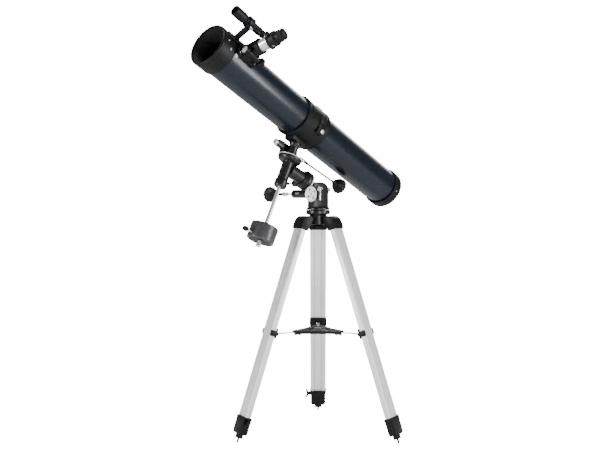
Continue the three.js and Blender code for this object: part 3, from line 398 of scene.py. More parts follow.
black_paint = plain("satin black paint", (0.006, 0.0062, 0.007), (0.008, 0.0084, 0.009), 0.24, 0.16, 700,
                    0.05,
                    coat=0.12, coat_roughness=0.15, specular=0.4)
HUB_TOP = 700
PIN_R, EAR_R = 3, 7
FOLD_R, FOLD_Z = 44, HUB_TOP - 28
LEG_NUMBERS = (1, 2, 3)
stand = frame_at(axis_foot, (1, 0, 0), (0, 0, 1))
hub_shape = turned("z", [(0, 654), (24, 654, 2), (26, 656, 1), (26, 684, 3), (36, 687, 2), (38, 689, 1),
                         (38, 698.5, 1), (36.5, 700, 1), (0, 700)], 96)
hub_parts = [(worked(hub_shape, [bar("z", 5.6, 640, 710, 0)]), black_paint)]
for number in LEG_NUMBERS:
    pin = Vector(joints[f"leg_{number}_fold"]["pos_m"]) - axis_foot
    heading = Matrix.Rotation(math.atan2(pin.y, pin.x), 4, "Z")
    ear = worked(block(22, FOLD_R, -8, 8, FOLD_Z - EAR_R, FOLD_Z + EAR_R, 1), [
        shifted(bar("y", PIN_R + 0.6, -20, 20, 0), FOLD_R, 0, FOLD_Z)])
    eye = shifted(sleeve("y", PIN_R + 0.6, EAR_R, -8, 8, 0.6, 40), FOLD_R, 0, FOLD_Z)
    hub_parts += [(moved(ear, heading), black_paint), (moved(eye, heading), black_paint)]
piece("tripod_hub_casting", stand, hub_parts, "tripod_head", "black_paint", "tripod_hub")

# The bolt that holds the mount down, turned by a six-lobed plastic knob under the hub.
moulded = plain("black moulded plastic", (0.004, 0.004, 0.0043), (0.007, 0.007, 0.0074), 0.28, 0.2, 1500,
                0.05,
                specular=0.2)
zinc = plain("zinc plated steel", (0.62, 0.62, 0.63), (0.5, 0.5, 0.51), 0.16, 0.16, 500, 0.02, metallic=1.0)
BOLT_TOP, BOLT_KNOB_TOP = 698, 653.6
piece("azimuth_bolt_knob", stand, [
    (turned("z", [(0, BOLT_KNOB_TOP - 16), (12, BOLT_KNOB_TOP - 16, 2), (16, BOLT_KNOB_TOP - 13, 2),
                  (16, BOLT_KNOB_TOP - 3, 2), (11, BOLT_KNOB_TOP, 1), (0, BOLT_KNOB_TOP)], 96, lobes=6,
                  depth=2.5),
     moulded),
    (bar("z", 5, BOLT_KNOB_TOP - 1, BOLT_TOP), zinc),
], "azimuth_bolt", "black_plastic", "azimuth_bolt")

# ---- legs ---------------------------------------------------------------------------------
# Each leg is a black casting pinned to the hub, a drawn aluminium channel, an inner leg that
# slides in it, a clamp block with a wing screw, and a black spike. The three are alike.
# a darker grey aluminium used only for strips on the floors of the leg grooves: painted shade in the
# recesses, not the metal's own colour
painted_groove_shade_metal = plain("painted groove shade aluminium", (0.2, 0.2, 0.205), (0.14, 0.14, 0.145), 0.4, 0.1, 500, 0.0,
                     metallic=0.5)
LEG_LENGTH = 697.5  # centre line from the casting to the spike tip
BLOCK_TOP = -615.5
BLOCK_HEIGHT = 53
PIVOT_IN_LEG = Vector((-10.28, 0, 14.96))

# drawn metal: long fine lines along a direction, in the colour, the gloss and the height
drawn, given, put = shader_group("drawn metal", [
    ("Along", "NodeSocketVector", (0, 0, 1)), ("Color", "NodeSocketColor", (0.8, 0.8, 0.8, 1)),
    ("Dull Color", "NodeSocketColor", (0.6, 0.6, 0.6, 1)), ("Roughness", "NodeSocketFloat", 0.3),
    ("Spread", "NodeSocketFloat", 0.1),
], [("Color", "NodeSocketColor"), ("Roughness", "NodeSocketFloat"), ("Height", "NodeSocketFloat")])
where = drawn.nodes.new("ShaderNodeTexCoord").outputs["Object"]
depth_along = drawn.nodes.new("ShaderNodeVectorMath")
depth_along.operation = "DOT_PRODUCT"
drawn.links.new(where, depth_along.inputs[0])
drawn.links.new(given.outputs["Along"], depth_along.inputs[1])
lengthwise = drawn.nodes.new("ShaderNodeVectorMath")
lengthwise.operation = "SCALE"
drawn.links.new(given.outputs["Along"], lengthwise.inputs[0])
drawn.links.new(calculate(drawn, "MULTIPLY", depth_along.outputs["Value"], 0.985), lengthwise.inputs["Scale"])
squeezed = drawn.nodes.new("ShaderNodeVectorMath")
squeezed.operation = "SUBTRACT"
drawn.links.new(where, squeezed.inputs[0])
drawn.links.new(lengthwise.outputs["Vector"], squeezed.inputs[1])
lines = noise_at(drawn, squeezed.outputs["Vector"], 900, 3)
clouds = noise_at(drawn, where, 18, 3)
drawn.links.new(blended(drawn, calculate(drawn, "MULTIPLY_ADD", lines, 1.8, -0.4), given.outputs["Color"],
                        given.outputs["Dull Color"]), put.inputs["Color"])
soft_gloss = calculate(drawn, "MULTIPLY_ADD", clouds, given.outputs["Spread"], given.outputs["Roughness"])
drawn.links.new(calculate(drawn, "MULTIPLY_ADD", lines, given.outputs["Spread"], soft_gloss),
                put.inputs["Roughness"])
drawn.links.new(lines, put.inputs["Height"])


def drawn_metal(name, along, color, dull, roughness, spread, bump=0.008):
    values = {"Along": along, "Color": (*color, 1), "Dull Color": (*dull, 1), "Roughness": roughness,
              "Spread": spread}
    return finish(name, drawn, values, bump, metallic=0.3)


def softened(node, width, least=0.5, segments=2):
    """a copy of a plain solid in metres, welded, with its edges rounded"""
    shape = bmesh.new()
    shape.from_mesh(frame["nodes"][node].data)
    bmesh.ops.remove_doubles(shape, verts=shape.verts, dist=2e-6)
    bmesh.ops.dissolve_limit(shape, angle_limit=math.radians(1), verts=shape.verts, edges=shape.edges)
    bmesh.ops.recalc_face_normals(shape, faces=shape.faces)
    sharp = [edge for edge in shape.edges if edge.is_manifold and edge.calc_face_angle(0) > least]
    bmesh.ops.bevel(shape, geom=sharp, offset=width * MM, segments=segments, profile=0.5, affect="EDGES",
                    clamp_overlap=True)
    return shape


METRES = Matrix()
CHANNEL = [
    (9, -26, 4), (9, -15.2, 0.4), (6.6, -14.8, 0.3), (6.6, -12.2, 0.3), (9, -11.8, 0.4),
    (9, 11.8, 0.4), (6.6, 12.2, 0.3), (6.6, 14.8, 0.3), (9, 15.2, 0.4), (9, 26, 4),
    (-9, 26, 3), (-9, 13, 1), (6, 13, 0.5), (6, -13, 0.5), (-9, -13, 1), (-9, -26, 3),
]
for number in LEG_NUMBERS:
    fold, extend = joints[f"leg_{number}_fold"], joints[f"leg_{number}_extend"]
    down = Vector(extend["axis"])
    sideways = Vector(fold["axis"])
    leg = frame_at(Vector(fold["pos_m"]), sideways.cross(-down), -down)
    leg = leg @ Matrix.Translation(-PIVOT_IN_LEG)
    leg_metal = drawn_metal(f"drawn aluminium, leg {number}", tuple(down), (0.97, 0.97, 0.98),
                            (0.86, 0.86, 0.88), 0.24, 0.14)
    upper, lower = f"leg_{number}_upper", f"leg_{number}_lower"
    piece(f"leg_{number}_casting", METRES, [(softened(f"leg_{number}_top", 1.6, segments=3), moulded)],
          upper, "black_plastic", f"leg_{number}_top")
    # dark strips a little above the floors of the two grooves: painted shade where the grooves are recessed
    painted_shade_strips = [block(6.5, 6.9, side * 13.5 - 1.25, side * 13.5 + 1.25, BLOCK_TOP + 0.6, -8.6, 0)
                     for side in (-1, 1)]
    piece(f"leg_{number}_channel", leg, [
        (plate(CHANNEL, BLOCK_TOP + 0.4, -8.4, 0.3), leg_metal),
        *[(strip, painted_groove_shade_metal) for strip in painted_shade_strips],
    ], upper, "aluminium", f"leg_{number}_outer")
    neck_top = BLOCK_TOP - BLOCK_HEIGHT
    inner_front = 5.4
    piece(f"leg_{number}_inner_leg", leg, [
        (block(inner_front - 11.8, inner_front, -12.4, 12.4, neck_top - 1, -10, 1.5), leg_metal),
        (block(inner_front - 13.8, inner_front + 2, -11.5, 11.5, neck_top - 13, neck_top - 0.4, 1.5),
         moulded),
        (turned("z", [(0, -LEG_LENGTH), (1.2, -LEG_LENGTH, 0.6), (3.5, -LEG_LENGTH + 6, 1),
                      (3.5, neck_top - 12), (0, neck_top - 12)], 32), black_paint),
    ], lower, "aluminium", f"leg_{number}_inner")
    piece(f"leg_{number}_clamp_block", METRES, [(softened(f"leg_{number}_clamp", 1.2, segments=3), moulded)],
          upper, "black_plastic", f"leg_{number}_clamp")
    piece(f"leg_{number}_wing_screw", METRES, [(softened(f"leg_{number}_lock_screw", 0.7), moulded)],
          f"leg_{number}_lock", "black_plastic", f"leg_{number}_lock_screw")
    piece(f"leg_{number}_brace_hinge", METRES, [(softened(f"leg_{number}_brace_bracket", 0.5), moulded)],
          upper, "black_plastic", f"leg_{number}_brace_bracket")
    piece(f"brace_strip_{number}", METRES, [(softened(f"brace_arm_{number}", 0.25), zinc)],
          f"brace_{number}", "chrome", f"brace_arm_{number}")

# ---- accessory tray -----------------------------------------------------------------------
# A thin moulded triangle between the legs with open windows and a hanging rim. The brace
# strips are screwed to its corners and hold the legs apart.
piece("tray_moulding", METRES, [(softened("accessory_tray", 0.5), moulded)], "tray", "black_plastic",
      "accessory_tray")

# ---- mount base ---------------------------------------------------------------------------
# A cast pillar with a yoke at its top, standing on a round base plate. The polar head tilts
# between its cheeks and is set by a hexagon bolt at the rear and clamped by a T handle.
mount = frame_at(axis_foot, joints["latitude_screw_turn"]["axis"], (0, 0, 1))
PILLAR_TOP = HUB_TOP + 87
YOKE_HALF = 9.5
TILT_X, TILT_Z = 14, HUB_TOP + 66.5
pillar = side_plate([(31, HUB_TOP + 5), (31, PILLAR_TOP, 5), (-31, PILLAR_TOP, 52), (-31, HUB_TOP + 5)], 32,
                    2.2,
                    steps=12)
pillar = worked(pillar, [
    block(-24, 40, -YOKE_HALF, YOKE_HALF, PILLAR_TOP - 52, PILLAR_TOP + 9, 0),
    shifted(bar("y", 4.6, -30, 30, 0), TILT_X, 0, TILT_Z),
    shifted(bar("x", 4.6, -50, 0, 0), 0, 0, TILT_Z - 3),
])
base_plate = turned("z", [(6, 700.4), (36, 700.4, 1), (36, 706.4, 2), (33, 709.4, 1), (6, 709.4)], 96,
                    closed=True)
piece("azimuth_casting", mount, [(pillar, black_paint), (base_plate, black_paint)], "azimuth_head",
      "black_paint", "azimuth_pillar")

chrome = plain("bright chrome", (0.93, 0.93, 0.94), (0.84, 0.84, 0.85), 0.08, 0.1, 300, 0.0, metallic=0.7)


def hexagon(across_corners):
    return [(across_corners * math.cos(i * math.pi / 3), across_corners * math.sin(i * math.pi / 3))
            for i in range(6)]


bolt_head = moved(plate(hexagon(7), -49, -36, 0.7), LAY["x"])
piece("latitude_bolt", mount, [
    (shifted(bar("x", 4, -37, -22), z=TILT_Z - 3), chrome), (shifted(bolt_head, z=TILT_Z - 3), chrome),
], "latitude_screw", "chrome", "latitude_screw")

HANDLE_OUT = 24
piece("latitude_t_handle", mount @ Matrix.Translation((TILT_X, 0, TILT_Z)), [
    (bar("y", 8, 16.4, 21.4, 1.2), chrome), (bar("y", 5.5, 21, 28.4, 1.5), chrome),
    (bar("y", 4, -15, 17), chrome), (shifted(bar("z", 2.6, -34, 0), y=HANDLE_OUT), chrome),
    (shifted(bar("z", 3.4, -36, -29, 1.5), y=HANDLE_OUT), chrome),
    (shifted(bar("x", 2.8, -11, 11, 1.4), y=HANDLE_OUT, z=1.6), chrome),
], "latitude_handle", "chrome", "latitude_handle")

# ---- polar head ---------------------------------------------------------------------------
# A black housing on the polar axis with a tongue that the yoke holds, a printed aluminium
# hour circle round its rear, and the case of the worm drive hanging under it.
polar = frame_at(Vector(joints["right_ascension"]["pos_m"]), joints["right_ascension"]["axis"],
                 joints["declination"]["axis"])
REAR, FRONT = -98, -66
hinge_in_polar = polar.inverted() @ Vector(joints["latitude"]["pos_m"])
tongue = worked(
    block(hinge_in_polar.x, REAR + 5, -8.9, 8.9, hinge_in_polar.z - 14, hinge_in_polar.z + 14, 1),
    [shifted(bar("y", 4.6, -20, 20, 0), hinge_in_polar.x, 0, hinge_in_polar.z)])
tongue_eye = shifted(sleeve("y", 4.6, 15, -8.9, 8.9, 0.8, 56), hinge_in_polar.x, 0, hinge_in_polar.z)
housing = turned("x", [(9.6, REAR + 0.4, 1), (22, REAR, 1), (23, REAR + 2, 1), (23, -90.6), (30, -90.6, 1),
                       (30, -78, 3), (25, -72, 2), (21, FRONT, 1), (9.6, FRONT)], 96, closed=True)
clamp_boss = shifted(bar("y", 10.5, -40, -18, 1.5, 56), REAR + 19, 0, -12)
piece("polar_casting", polar, [
    (housing, black_paint), (tongue, black_paint), (tongue_eye, black_paint), (clamp_boss, black_paint),
    (turned("x", [(0, REAR), (9.8, REAR), (9.8, REAR + 8), (0, REAR + 8)], 48), black_paint),
], "polar_head", "black_paint", "polar_housing")


def input_socket(tree, label, kind, value):
    socket = tree.interface.new_socket(label, in_out="INPUT", socket_type=kind)
    socket.default_value = value


def points_round_a_circle(tree, given):
    """the points of a tree with Count, Radius, Start and Height inputs, and each point's angle"""
    index = tree.nodes.new("GeometryNodeInputIndex").outputs["Index"]
    share = calculate(tree, "DIVIDE", index, given.outputs["Count"])
    angle = calculate(tree, "MULTIPLY_ADD", share, 2 * math.pi, given.outputs["Start"])
    spot = tree.nodes.new("ShaderNodeCombineXYZ")
    across = calculate(tree, "MULTIPLY", calculate(tree, "COSINE", angle), given.outputs["Radius"])
    along = calculate(tree, "MULTIPLY", calculate(tree, "SINE", angle), given.outputs["Radius"])
    tree.links.new(across, spot.inputs["X"])
    tree.links.new(along, spot.inputs["Y"])
    tree.links.new(given.outputs["Height"], spot.inputs["Z"])
    points = tree.nodes.new("GeometryNodePoints")
    tree.links.new(given.outputs["Count"], points.inputs["Count"])
    tree.links.new(spot.outputs["Vector"], points.inputs["Position"])
    return points.outputs["Points"], angle


def bars_round_a_circle():
    """Geometry Nodes: equal small blocks round the Z axis, standing on a circle"""
    tree = bpy.data.node_groups.new("bars round a circle", "GeometryNodeTree")
    input_socket(tree, "Count", "NodeSocketInt", 12)
    input_socket(tree, "Radius", "NodeSocketFloat", 10.0)
    input_socket(tree, "Start", "NodeSocketFloat", 0.0)
    input_socket(tree, "Height", "NodeSocketFloat", 0.0)
    input_socket(tree, "Size", "NodeSocketVector", (1, 1, 1))
    tree.interface.new_socket("Material", in_out="INPUT", socket_type="NodeSocketMaterial")
    tree.interface.new_socket("Geometry", in_out="OUTPUT", socket_type="NodeSocketGeometry")
    given, put = tree.nodes.new("NodeGroupInput"), tree.nodes.new("NodeGroupOutput")
    points, angle = points_round_a_circle(tree, given)
    heading = tree.nodes.new("ShaderNodeCombineXYZ")
    tree.links.new(angle, heading.inputs["Z"])
    cube = tree.nodes.new("GeometryNodeMeshCube")
    tree.links.new(given.outputs["Size"], cube.inputs["Size"])
    copies = tree.nodes.new("GeometryNodeInstanceOnPoints")
    tree.links.new(points, copies.inputs["Points"])
    tree.links.new(cube.outputs["Mesh"], copies.inputs["Instance"])
    tree.links.new(heading.outputs["Vector"], copies.inputs["Rotation"])
    return finished_tree(tree, given, put, copies.outputs["Instances"])


def finished_tree(tree, given, put, instances):
    real = tree.nodes.new("GeometryNodeRealizeInstances")
    paint = tree.nodes.new("GeometryNodeSetMaterial")
    tree.links.new(instances, real.inputs["Geometry"])
    tree.links.new(real.outputs["Geometry"], paint.inputs["Geometry"])
    tree.links.new(given.outputs["Material"], paint.inputs["Material"])
    tree.links.new(paint.outputs["Geometry"], put.inputs["Geometry"])
    return tree


def grown(tree, **sizes):
    """the mesh that a tree makes with these inputs"""
    seed = bpy.data.objects.new("seed", bpy.data.meshes.new("seed"))
    bpy.context.collection.objects.link(seed)
    step = seed.modifiers.new("grow", "NODES")
    step.node_group = tree
    for item in tree.interface.items_tree:
        if item.in_out == "INPUT" and item.name in sizes:
            step[item.identifier] = sizes[item.name]
    bpy.context.view_layer.update()
    made = bpy.data.meshes.new_from_object(seed.evaluated_get(bpy.context.evaluated_depsgraph_get()))
    shape = bmesh.new()
    shape.from_mesh(made)
    seed.modifiers.remove(step)
    bpy.data.objects.remove(seed)
    bpy.data.meshes.remove(made)
    return shape


circle_bars = bars_round_a_circle()
silver_print = plain("satin aluminium", (0.88, 0.88, 0.89), (0.74, 0.74, 0.75), 0.28, 0.14, 600, 0.01,
                     metallic=0.5)
# black ink prints the marks on the circles, and the same material is also laid as painted shade in the worm
# cover's spanner holes
ink_and_hole_shade = plain("black ink and painted hole shade", (0.02, 0.02, 0.022), (0.03, 0.03, 0.03), 0.5, 0.1, 900, 0.0)
hour_marks = grown(circle_bars, Count=72, Radius=30.02, Height=-92.2, Size=(0.12, 0.45, 2.2),
                   Material=ink_and_hole_shade)
long_marks = grown(circle_bars, Count=24, Radius=30.04, Height=-92.6, Size=(0.14, 0.6, 3.0),
                   Material=ink_and_hole_shade)
piece("hour_circle", polar, [
    (sleeve("x", 23.4, 30, -95.5, -91, 0.5), silver_print),
    (moved(hour_marks, LAY["x"]), ink_and_hole_shade), (moved(long_marks, LAY["x"]), ink_and_hole_shade),
], "polar_head", "aluminium", "ra_setting_circle")

# The worm case is a barrel across the head, open where the worm shows, with a saddle that
# fits under the housing. A round cover with four spanner holes closes its far end.
worm_place = polar @ Matrix.Translation((-100.5, 0, -38.3))
CASE_LEFT, CASE_RIGHT = -48, 25.5
barrel = worked(bar("y", 13, CASE_LEFT, CASE_RIGHT, 1.6, 64), [
    shifted(bar("x", 30.6, -40, 40, 0, 96), z=38.3),
    bar("y", 8, CASE_LEFT + 6, CASE_RIGHT - 6, 0),
    bar("y", 3.8, CASE_LEFT - 2, CASE_RIGHT + 2, 0),
    block(2, 20, CASE_LEFT + 10, -12, -7, 7, 0),
])
saddle = block(-11, -0.5, -12.9, 12.9, 8, 38.3 + hinge_in_polar.z - 14.4, 0.8)
heads = [shifted(turned("x", [(0, 0), (3.2, 0), (3.2, 2.2, 0.8), (0, 2.2)], 28), 9.5, at, 6) for at in (-44,
                                                                                                        18)]
piece("worm_barrel", worm_place, [
    (barrel, black_paint), (saddle, black_paint), *[(head, zinc) for head in heads],
], "polar_head", "black_paint", "ra_worm_case")
cover_holes = [
    shifted(bar("y", 3.5, -2, 8, 0, 24), 14 * math.cos(turn), 0, 14 * math.sin(turn))
    for turn in [(i + 0.35) * math.pi / 2 for i in range(4)]
]
cover = worked(turned("y", [(0, 0), (23, 0, 0.8), (24.5, 1.5), (24.5, 3, 0.6), (22, 4.5, 1), (0, 4.5)], 96),
               [*cover_holes, bar("y", 3.8, -2, 8, 0)])
# black discs a little way down the four spanner holes: painted shade in the holes, not the cover's own colour
painted_shade_hole_discs = [shifted(bar("y", 3.46, 0.4, 1.2, 0, 24), 14 * math.cos(turn), 0, 14 * math.sin(turn))
               for turn in [(i + 0.35) * math.pi / 2 for i in range(4)]]
piece("worm_cover", worm_place @ Matrix.Translation((0, 27.5, 0)), [
    (cover, silver_print), *[(hole_shade_disc, ink_and_hole_shade) for hole_shade_disc in painted_shade_hole_discs],
], "polar_head", "aluminium", "ra_worm_cover")

# ---- right ascension control --------------------------------------------------------------
# A bright worm on a steel shaft in two bearings. A forked coupling joins it to a stiff black
# rod with a lobed plastic knob on its end.
def thread_rings():
    """Geometry Nodes: equal tapered rings in a row along the Z axis, as the crests of a thread"""
    tree = bpy.data.node_groups.new("thread rings", "GeometryNodeTree")
    input_socket(tree, "Count", "NodeSocketInt", 10)
    input_socket(tree, "Radius", "NodeSocketFloat", 4.0)
    input_socket(tree, "Pitch", "NodeSocketFloat", 1.0)
    input_socket(tree, "Start", "NodeSocketFloat", 0.0)
    tree.interface.new_socket("Material", in_out="INPUT", socket_type="NodeSocketMaterial")
    tree.interface.new_socket("Geometry", in_out="OUTPUT", socket_type="NodeSocketGeometry")
    given, put = tree.nodes.new("NodeGroupInput"), tree.nodes.new("NodeGroupOutput")
    index = tree.nodes.new("GeometryNodeInputIndex").outputs["Index"]
    rise = calculate(tree, "MULTIPLY_ADD", index, given.outputs["Pitch"], given.outputs["Start"])
    spot = tree.nodes.new("ShaderNodeCombineXYZ")
    tree.links.new(rise, spot.inputs["Z"])
    points = tree.nodes.new("GeometryNodePoints")
    tree.links.new(given.outputs["Count"], points.inputs["Count"])
    tree.links.new(spot.outputs["Vector"], points.inputs["Position"])
    ring = tree.nodes.new("GeometryNodeCurvePrimitiveCircle")
    ring.inputs["Resolution"].default_value = 32
    tree.links.new(given.outputs["Radius"], ring.inputs["Radius"])
    crest = tree.nodes.new("GeometryNodeCurvePrimitiveCircle")
    crest.inputs["Resolution"].default_value = 4
    tree.links.new(calculate(tree, "MULTIPLY", given.outputs["Pitch"], 0.48), crest.inputs["Radius"])
    swept = tree.nodes.new("GeometryNodeCurveToMesh")
    tree.links.new(ring.outputs["Curve"], swept.inputs["Curve"])
    tree.links.new(crest.outputs["Curve"], swept.inputs["Profile Curve"])
    copies = tree.nodes.new("GeometryNodeInstanceOnPoints")
    tree.links.new(points.outputs["Points"], copies.inputs["Points"])
    tree.links.new(swept.outputs["Mesh"], copies.inputs["Instance"])
    return finished_tree(tree, given, put, copies.outputs["Instances"])


thread = thread_rings()
thread_metal = plain("thread steel", (0.55, 0.55, 0.56), (0.4, 0.4, 0.41), 0.2, 0.12, 500, 0.0, metallic=1.0)


def fork(axis, tip, base, side):
    """a forked coupling: a collar and two prongs beyond its tip"""
    ahead = 1 if tip > base else -1
    prong_ends = sorted((tip - 4 * ahead, tip + 6 * ahead))
    prongs = [moved(block(-4, 4, *pair, *prong_ends, 0.8), side) for pair in ((-6, -3), (3, 6))]
    return [bar(axis, 6, *sorted((tip, base)), 1.2)] + [moved(prong, LAY[axis]) for prong in prongs]


worm_parts = [bar("y", 3.2, -94, 32.4), bar("y", 4.4, -39, 8, 1)] + fork("y", -94, -80, Matrix())
worm_crests = moved(grown(thread, Count=9, Radius=5.2, Pitch=2.6, Start=-36.0, Material=chrome), LAY["y"])
piece("ra_worm_shaft", worm_place, [(shape, chrome) for shape in worm_parts] + [(worm_crests, chrome)],
      "ra_worm", "chrome", "ra_worm")


def control(reach, start):
    """a lobed knob on a stiff rod along Z, the knob's underside at the height reach"""
    knob = turned("z", [(0, reach), (9, reach), (12, reach + 1, 2), (17, reach + 6, 4), (25, reach + 19, 6),
                        (26, reach + 28, 4), (22.5, reach + 34, 3), (19.5, reach + 34, 1),
                        (18.5, reach + 31.5, 1),
                        (0, reach + 29.5)], 180, lobes=12, depth=1.7)
    rings = [turned("z", [(inner, reach + 28), (inner, reach + top, 0.6), (inner + 1.6, reach + top, 0.6),
                          (inner + 1.6, reach + 28)], 96, closed=True) for inner,
                          top in ((13.2, 32), (7.2, 31.6))]
    ferrule = turned("z", [(0, start - 6), (2.6, start - 6), (4.4, start, 1), (4.4, start + 16, 1),
                           (3, start + 18),
                           (0, start + 18)], 40)
    collar = turned("z", [(3, reach - 9, 0.5), (5.4, reach - 8, 1), (8.4, reach + 1, 1), (3, reach + 1)], 48,
                    closed=True)
    return [(knob, moulded), *[(ring, moulded) for ring in rings],
            (bar("z", 3, start + 4, reach + 2), black_paint),
            (ferrule, moulded), (collar, moulded)]


piece("ra_control_knob", worm_place @ Matrix.Rotation(math.pi / 2, 4, "X"), control(138, 101), "ra_worm",
      "black_plastic", "ra_slow_control")

clamp_place = polar @ Matrix.Translation((REAR + 19, -40.4, -12))
knurl = grown(circle_bars, Count=24, Radius=4.15, Height=-27.6, Size=(0.5, 0.5, 7.2), Material=moulded)
knurl = moved(knurl, LAY["y"])
piece("ra_clamp_knob", clamp_place, [
    (bar("y", 2, -24, 0), zinc), (bar("y", 4.1, -32, -23, 0.8), moulded), (knurl, moulded),
], "ra_clamp", "black_plastic", "ra_clamp_screw")

# ---- declination head ---------------------------------------------------------------------
# The cross housing turns in the polar head: a collared body that the counterweight rod is
# screwed into, a wide dish at the top, and a printed aluminium circle on the dish.
DISH = 34
dec_body = turned("z", [(0, -66), (16.5, -66, 1.5), (20, -61, 2), (20, -44, 2), (17.5, -40, 2),
                        (17.5, 18, 3), (33, 21, 5), (37, 28, 3), (37, DISH - 0.4, 0.8), (0, DISH - 0.4)], 112)
cross_neck = turned("x", [(0, -77.6), (9, -77.6, 0.5), (9, -65.6), (20, -65.6, 1), (21, -62, 1), (21, -12),
                          (0, -12)],
                    96)
dec_shape = worked(dec_body, [bar("z", 6.6, -80, -52, 0), bar("z", 8.6, -20, 50, 0)])
cap_screws = [
    shifted(moved(turned("z", [(0, 0), (2.6, 0), (2.6, 2, 0.7), (0, 2)], 24), LAY["x"]), 16.6, 0, rise)
    for rise in (-28, -8)
]
piece("dec_casting", polar, [
    (dec_shape, black_paint), (cross_neck, black_paint), *[(screw, zinc) for screw in cap_screws],
], "ra_head", "black_paint", "dec_housing")

degree_marks = grown(circle_bars, Count=90, Radius=38.2, Height=DISH + 0.95, Size=(0.1, 0.35, 1.3),
                     Material=ink_and_hole_shade)
tens_marks = grown(circle_bars, Count=36, Radius=35.2, Height=DISH + 2.5, Size=(2.4, 0.45, 0.12),
                   Material=ink_and_hole_shade)
piece("dec_circle", polar, [
    (turned("z", [(14.6, DISH, 0.3), (38, DISH, 0.4), (38.5, DISH + 1), (38, DISH + 2.5, 0.6),
                  (34, DISH + 2.5, 0.4), (33.4, DISH + 1.6, 0.3), (14.6, DISH + 1.6, 0.3)], 128, closed=True),
     silver_print),
    (degree_marks, ink_and_hole_shade), (tens_marks, ink_and_hole_shade),
], "ra_head", "aluminium", "dec_setting_circle")

dec_worm_place = polar @ Matrix.Translation((0, -27, 64))
dec_case = worked(block(-34, 46, -11, 8.5, -8, 13, 3), [bar("x", 3.8, -40, 60, 0)])
piece("dec_worm_barrel", dec_worm_place, [
    (dec_case, black_paint), (sleeve("x", 3.8, 9.4, -35.5, 46.2, 1.2, 64), black_paint),
    (block(-20, 22, -9, 8.5, -26.6, 0, 1.5), black_paint),
    *[(shifted(moved(turned("z", [(0, 0), (2.4, 0), (2.4, 1.8, 0.7), (0, 1.8)], 24),
                     Matrix.Rotation(math.pi / 2, 4,
       "X")), at, -10.6, 3), zinc) for at in (-26, 38)],
], "ra_head", "black_paint", "dec_worm_case")
piece("dec_worm_shaft", dec_worm_place, [
    (bar("x", 3.2, -62, 50), chrome),
    (turned("x", [(0, 46.5), (8.4, 46.5, 0.5), (9, 47.5, 0.5), (9, 56, 0.8), (7, 57, 0.6), (0, 57)], 64),
     chrome),
    *[(shape, chrome) for shape in fork("x", -72, -58, Matrix())],
], "dec_worm", "chrome", "dec_worm")
piece("dec_control_knob", dec_worm_place @ Matrix.Rotation(-math.pi / 2, 4, "Y"), control(226, 79),
      "dec_worm",
      "black_plastic", "dec_slow_control")

# ---- counterweight ------------------------------------------------------------------------
# A turned iron weight in dark hammered paint slides on a chromed rod and is held by a screw
# with a small lobed knob. A nut at the rod's end keeps it from falling off.
rod_thread = grown(thread, Count=22, Radius=5.7, Pitch=1.0, Start=-250.0, Material=thread_metal)
piece("weight_rod", polar, [
    (turned("z", [(0, -252), (5.4, -252), (5.4, -228, 0.5), (6, -227, 0.4), (6, -54), (0, -54)], 56), chrome),
    (rod_thread, thread_metal),
    (turned("z", [(0, -261), (6, -261, 1), (8, -259, 0.6), (8, -256, 0.6), (6, -254, 0.6), (6, -251.6),
                  (0, -251.6)],
            56), chrome),
], "ra_head", "chrome", "counterweight_rod")

hammered, given, put = shader_group("hammered paint", [
    ("Color", "NodeSocketColor", (0.05, 0.05, 0.05, 1)),
    ("Dull Color", "NodeSocketColor", (0.03, 0.03, 0.03, 1)),
    ("Roughness", "NodeSocketFloat", 0.3), ("Spread", "NodeSocketFloat", 0.1),
    ("Size", "NodeSocketFloat", 260.0),
], [("Color", "NodeSocketColor"), ("Roughness", "NodeSocketFloat"), ("Height", "NodeSocketFloat")])
where = hammered.nodes.new("ShaderNodeTexCoord").outputs["Object"]
dimples = hammered.nodes.new("ShaderNodeTexVoronoi")
dimples.feature = "SMOOTH_F1"
hammered.links.new(where, dimples.inputs["Vector"])
hammered.links.new(given.outputs["Size"], dimples.inputs["Scale"])
dimple = calculate(hammered, "MINIMUM", dimples.outputs["Distance"], 0.7)
hammered.links.new(blended(hammered, dimple, given.outputs["Color"], given.outputs["Dull Color"]),
                   put.inputs["Color"])
hammered.links.new(calculate(hammered, "MULTIPLY_ADD", dimple, given.outputs["Spread"],
                             given.outputs["Roughness"]),
                   put.inputs["Roughness"])
hammered.links.new(dimple, put.inputs["Height"])
weight_paint = finish("hammered grey paint", hammered, {
    "Color": (0.06, 0.06, 0.063, 1), "Dull Color": (0.035, 0.035, 0.037, 1), "Roughness": 0.3, "Spread": 0.16,
    "Size": 420.0,
}, 0.08, coat=0.2, coat_roughness=0.25)

WEIGHT_DROP = 218.5
weight = turned("z", [(6.6, -24, 1), (33, -24, 1.5), (36, -25.5, 1), (39.5, -25.5, 2), (42, -23, 1.5),
                      (42, 23, 1.5),
                      (39.5, 25.5, 2), (15, 25.5, 1), (13.5, 24.5, 1), (6.6, 24.5, 1)], 144, closed=True)
weight = worked(weight, [shifted(bar("x", 3.1, 5, 50, 0), z=-13)])
piece("weight", polar @ Matrix.Translation((0, 0, -WEIGHT_DROP)), [
    (weight, weight_paint), (sleeve("z", 7, 33.4, -24.4, -23.9, 0.1, 96), moulded),
], "counterweight",
      "weight_paint", "counterweight")
piece("weight_lock_knob", polar @ Matrix.Translation((0, 0, -WEIGHT_DROP - 13)), [
    (bar("x", 2.5, 12, 58), chrome),
    (turned("x", [(0, 56), (4, 56), (8, 58, 1.5), (8, 70, 2), (6.5, 73, 1.5), (0, 73)], 96, lobes=8,
            depth=1.3),
     moulded),
], "counterweight_screw", "black_plastic", "counterweight_screw")

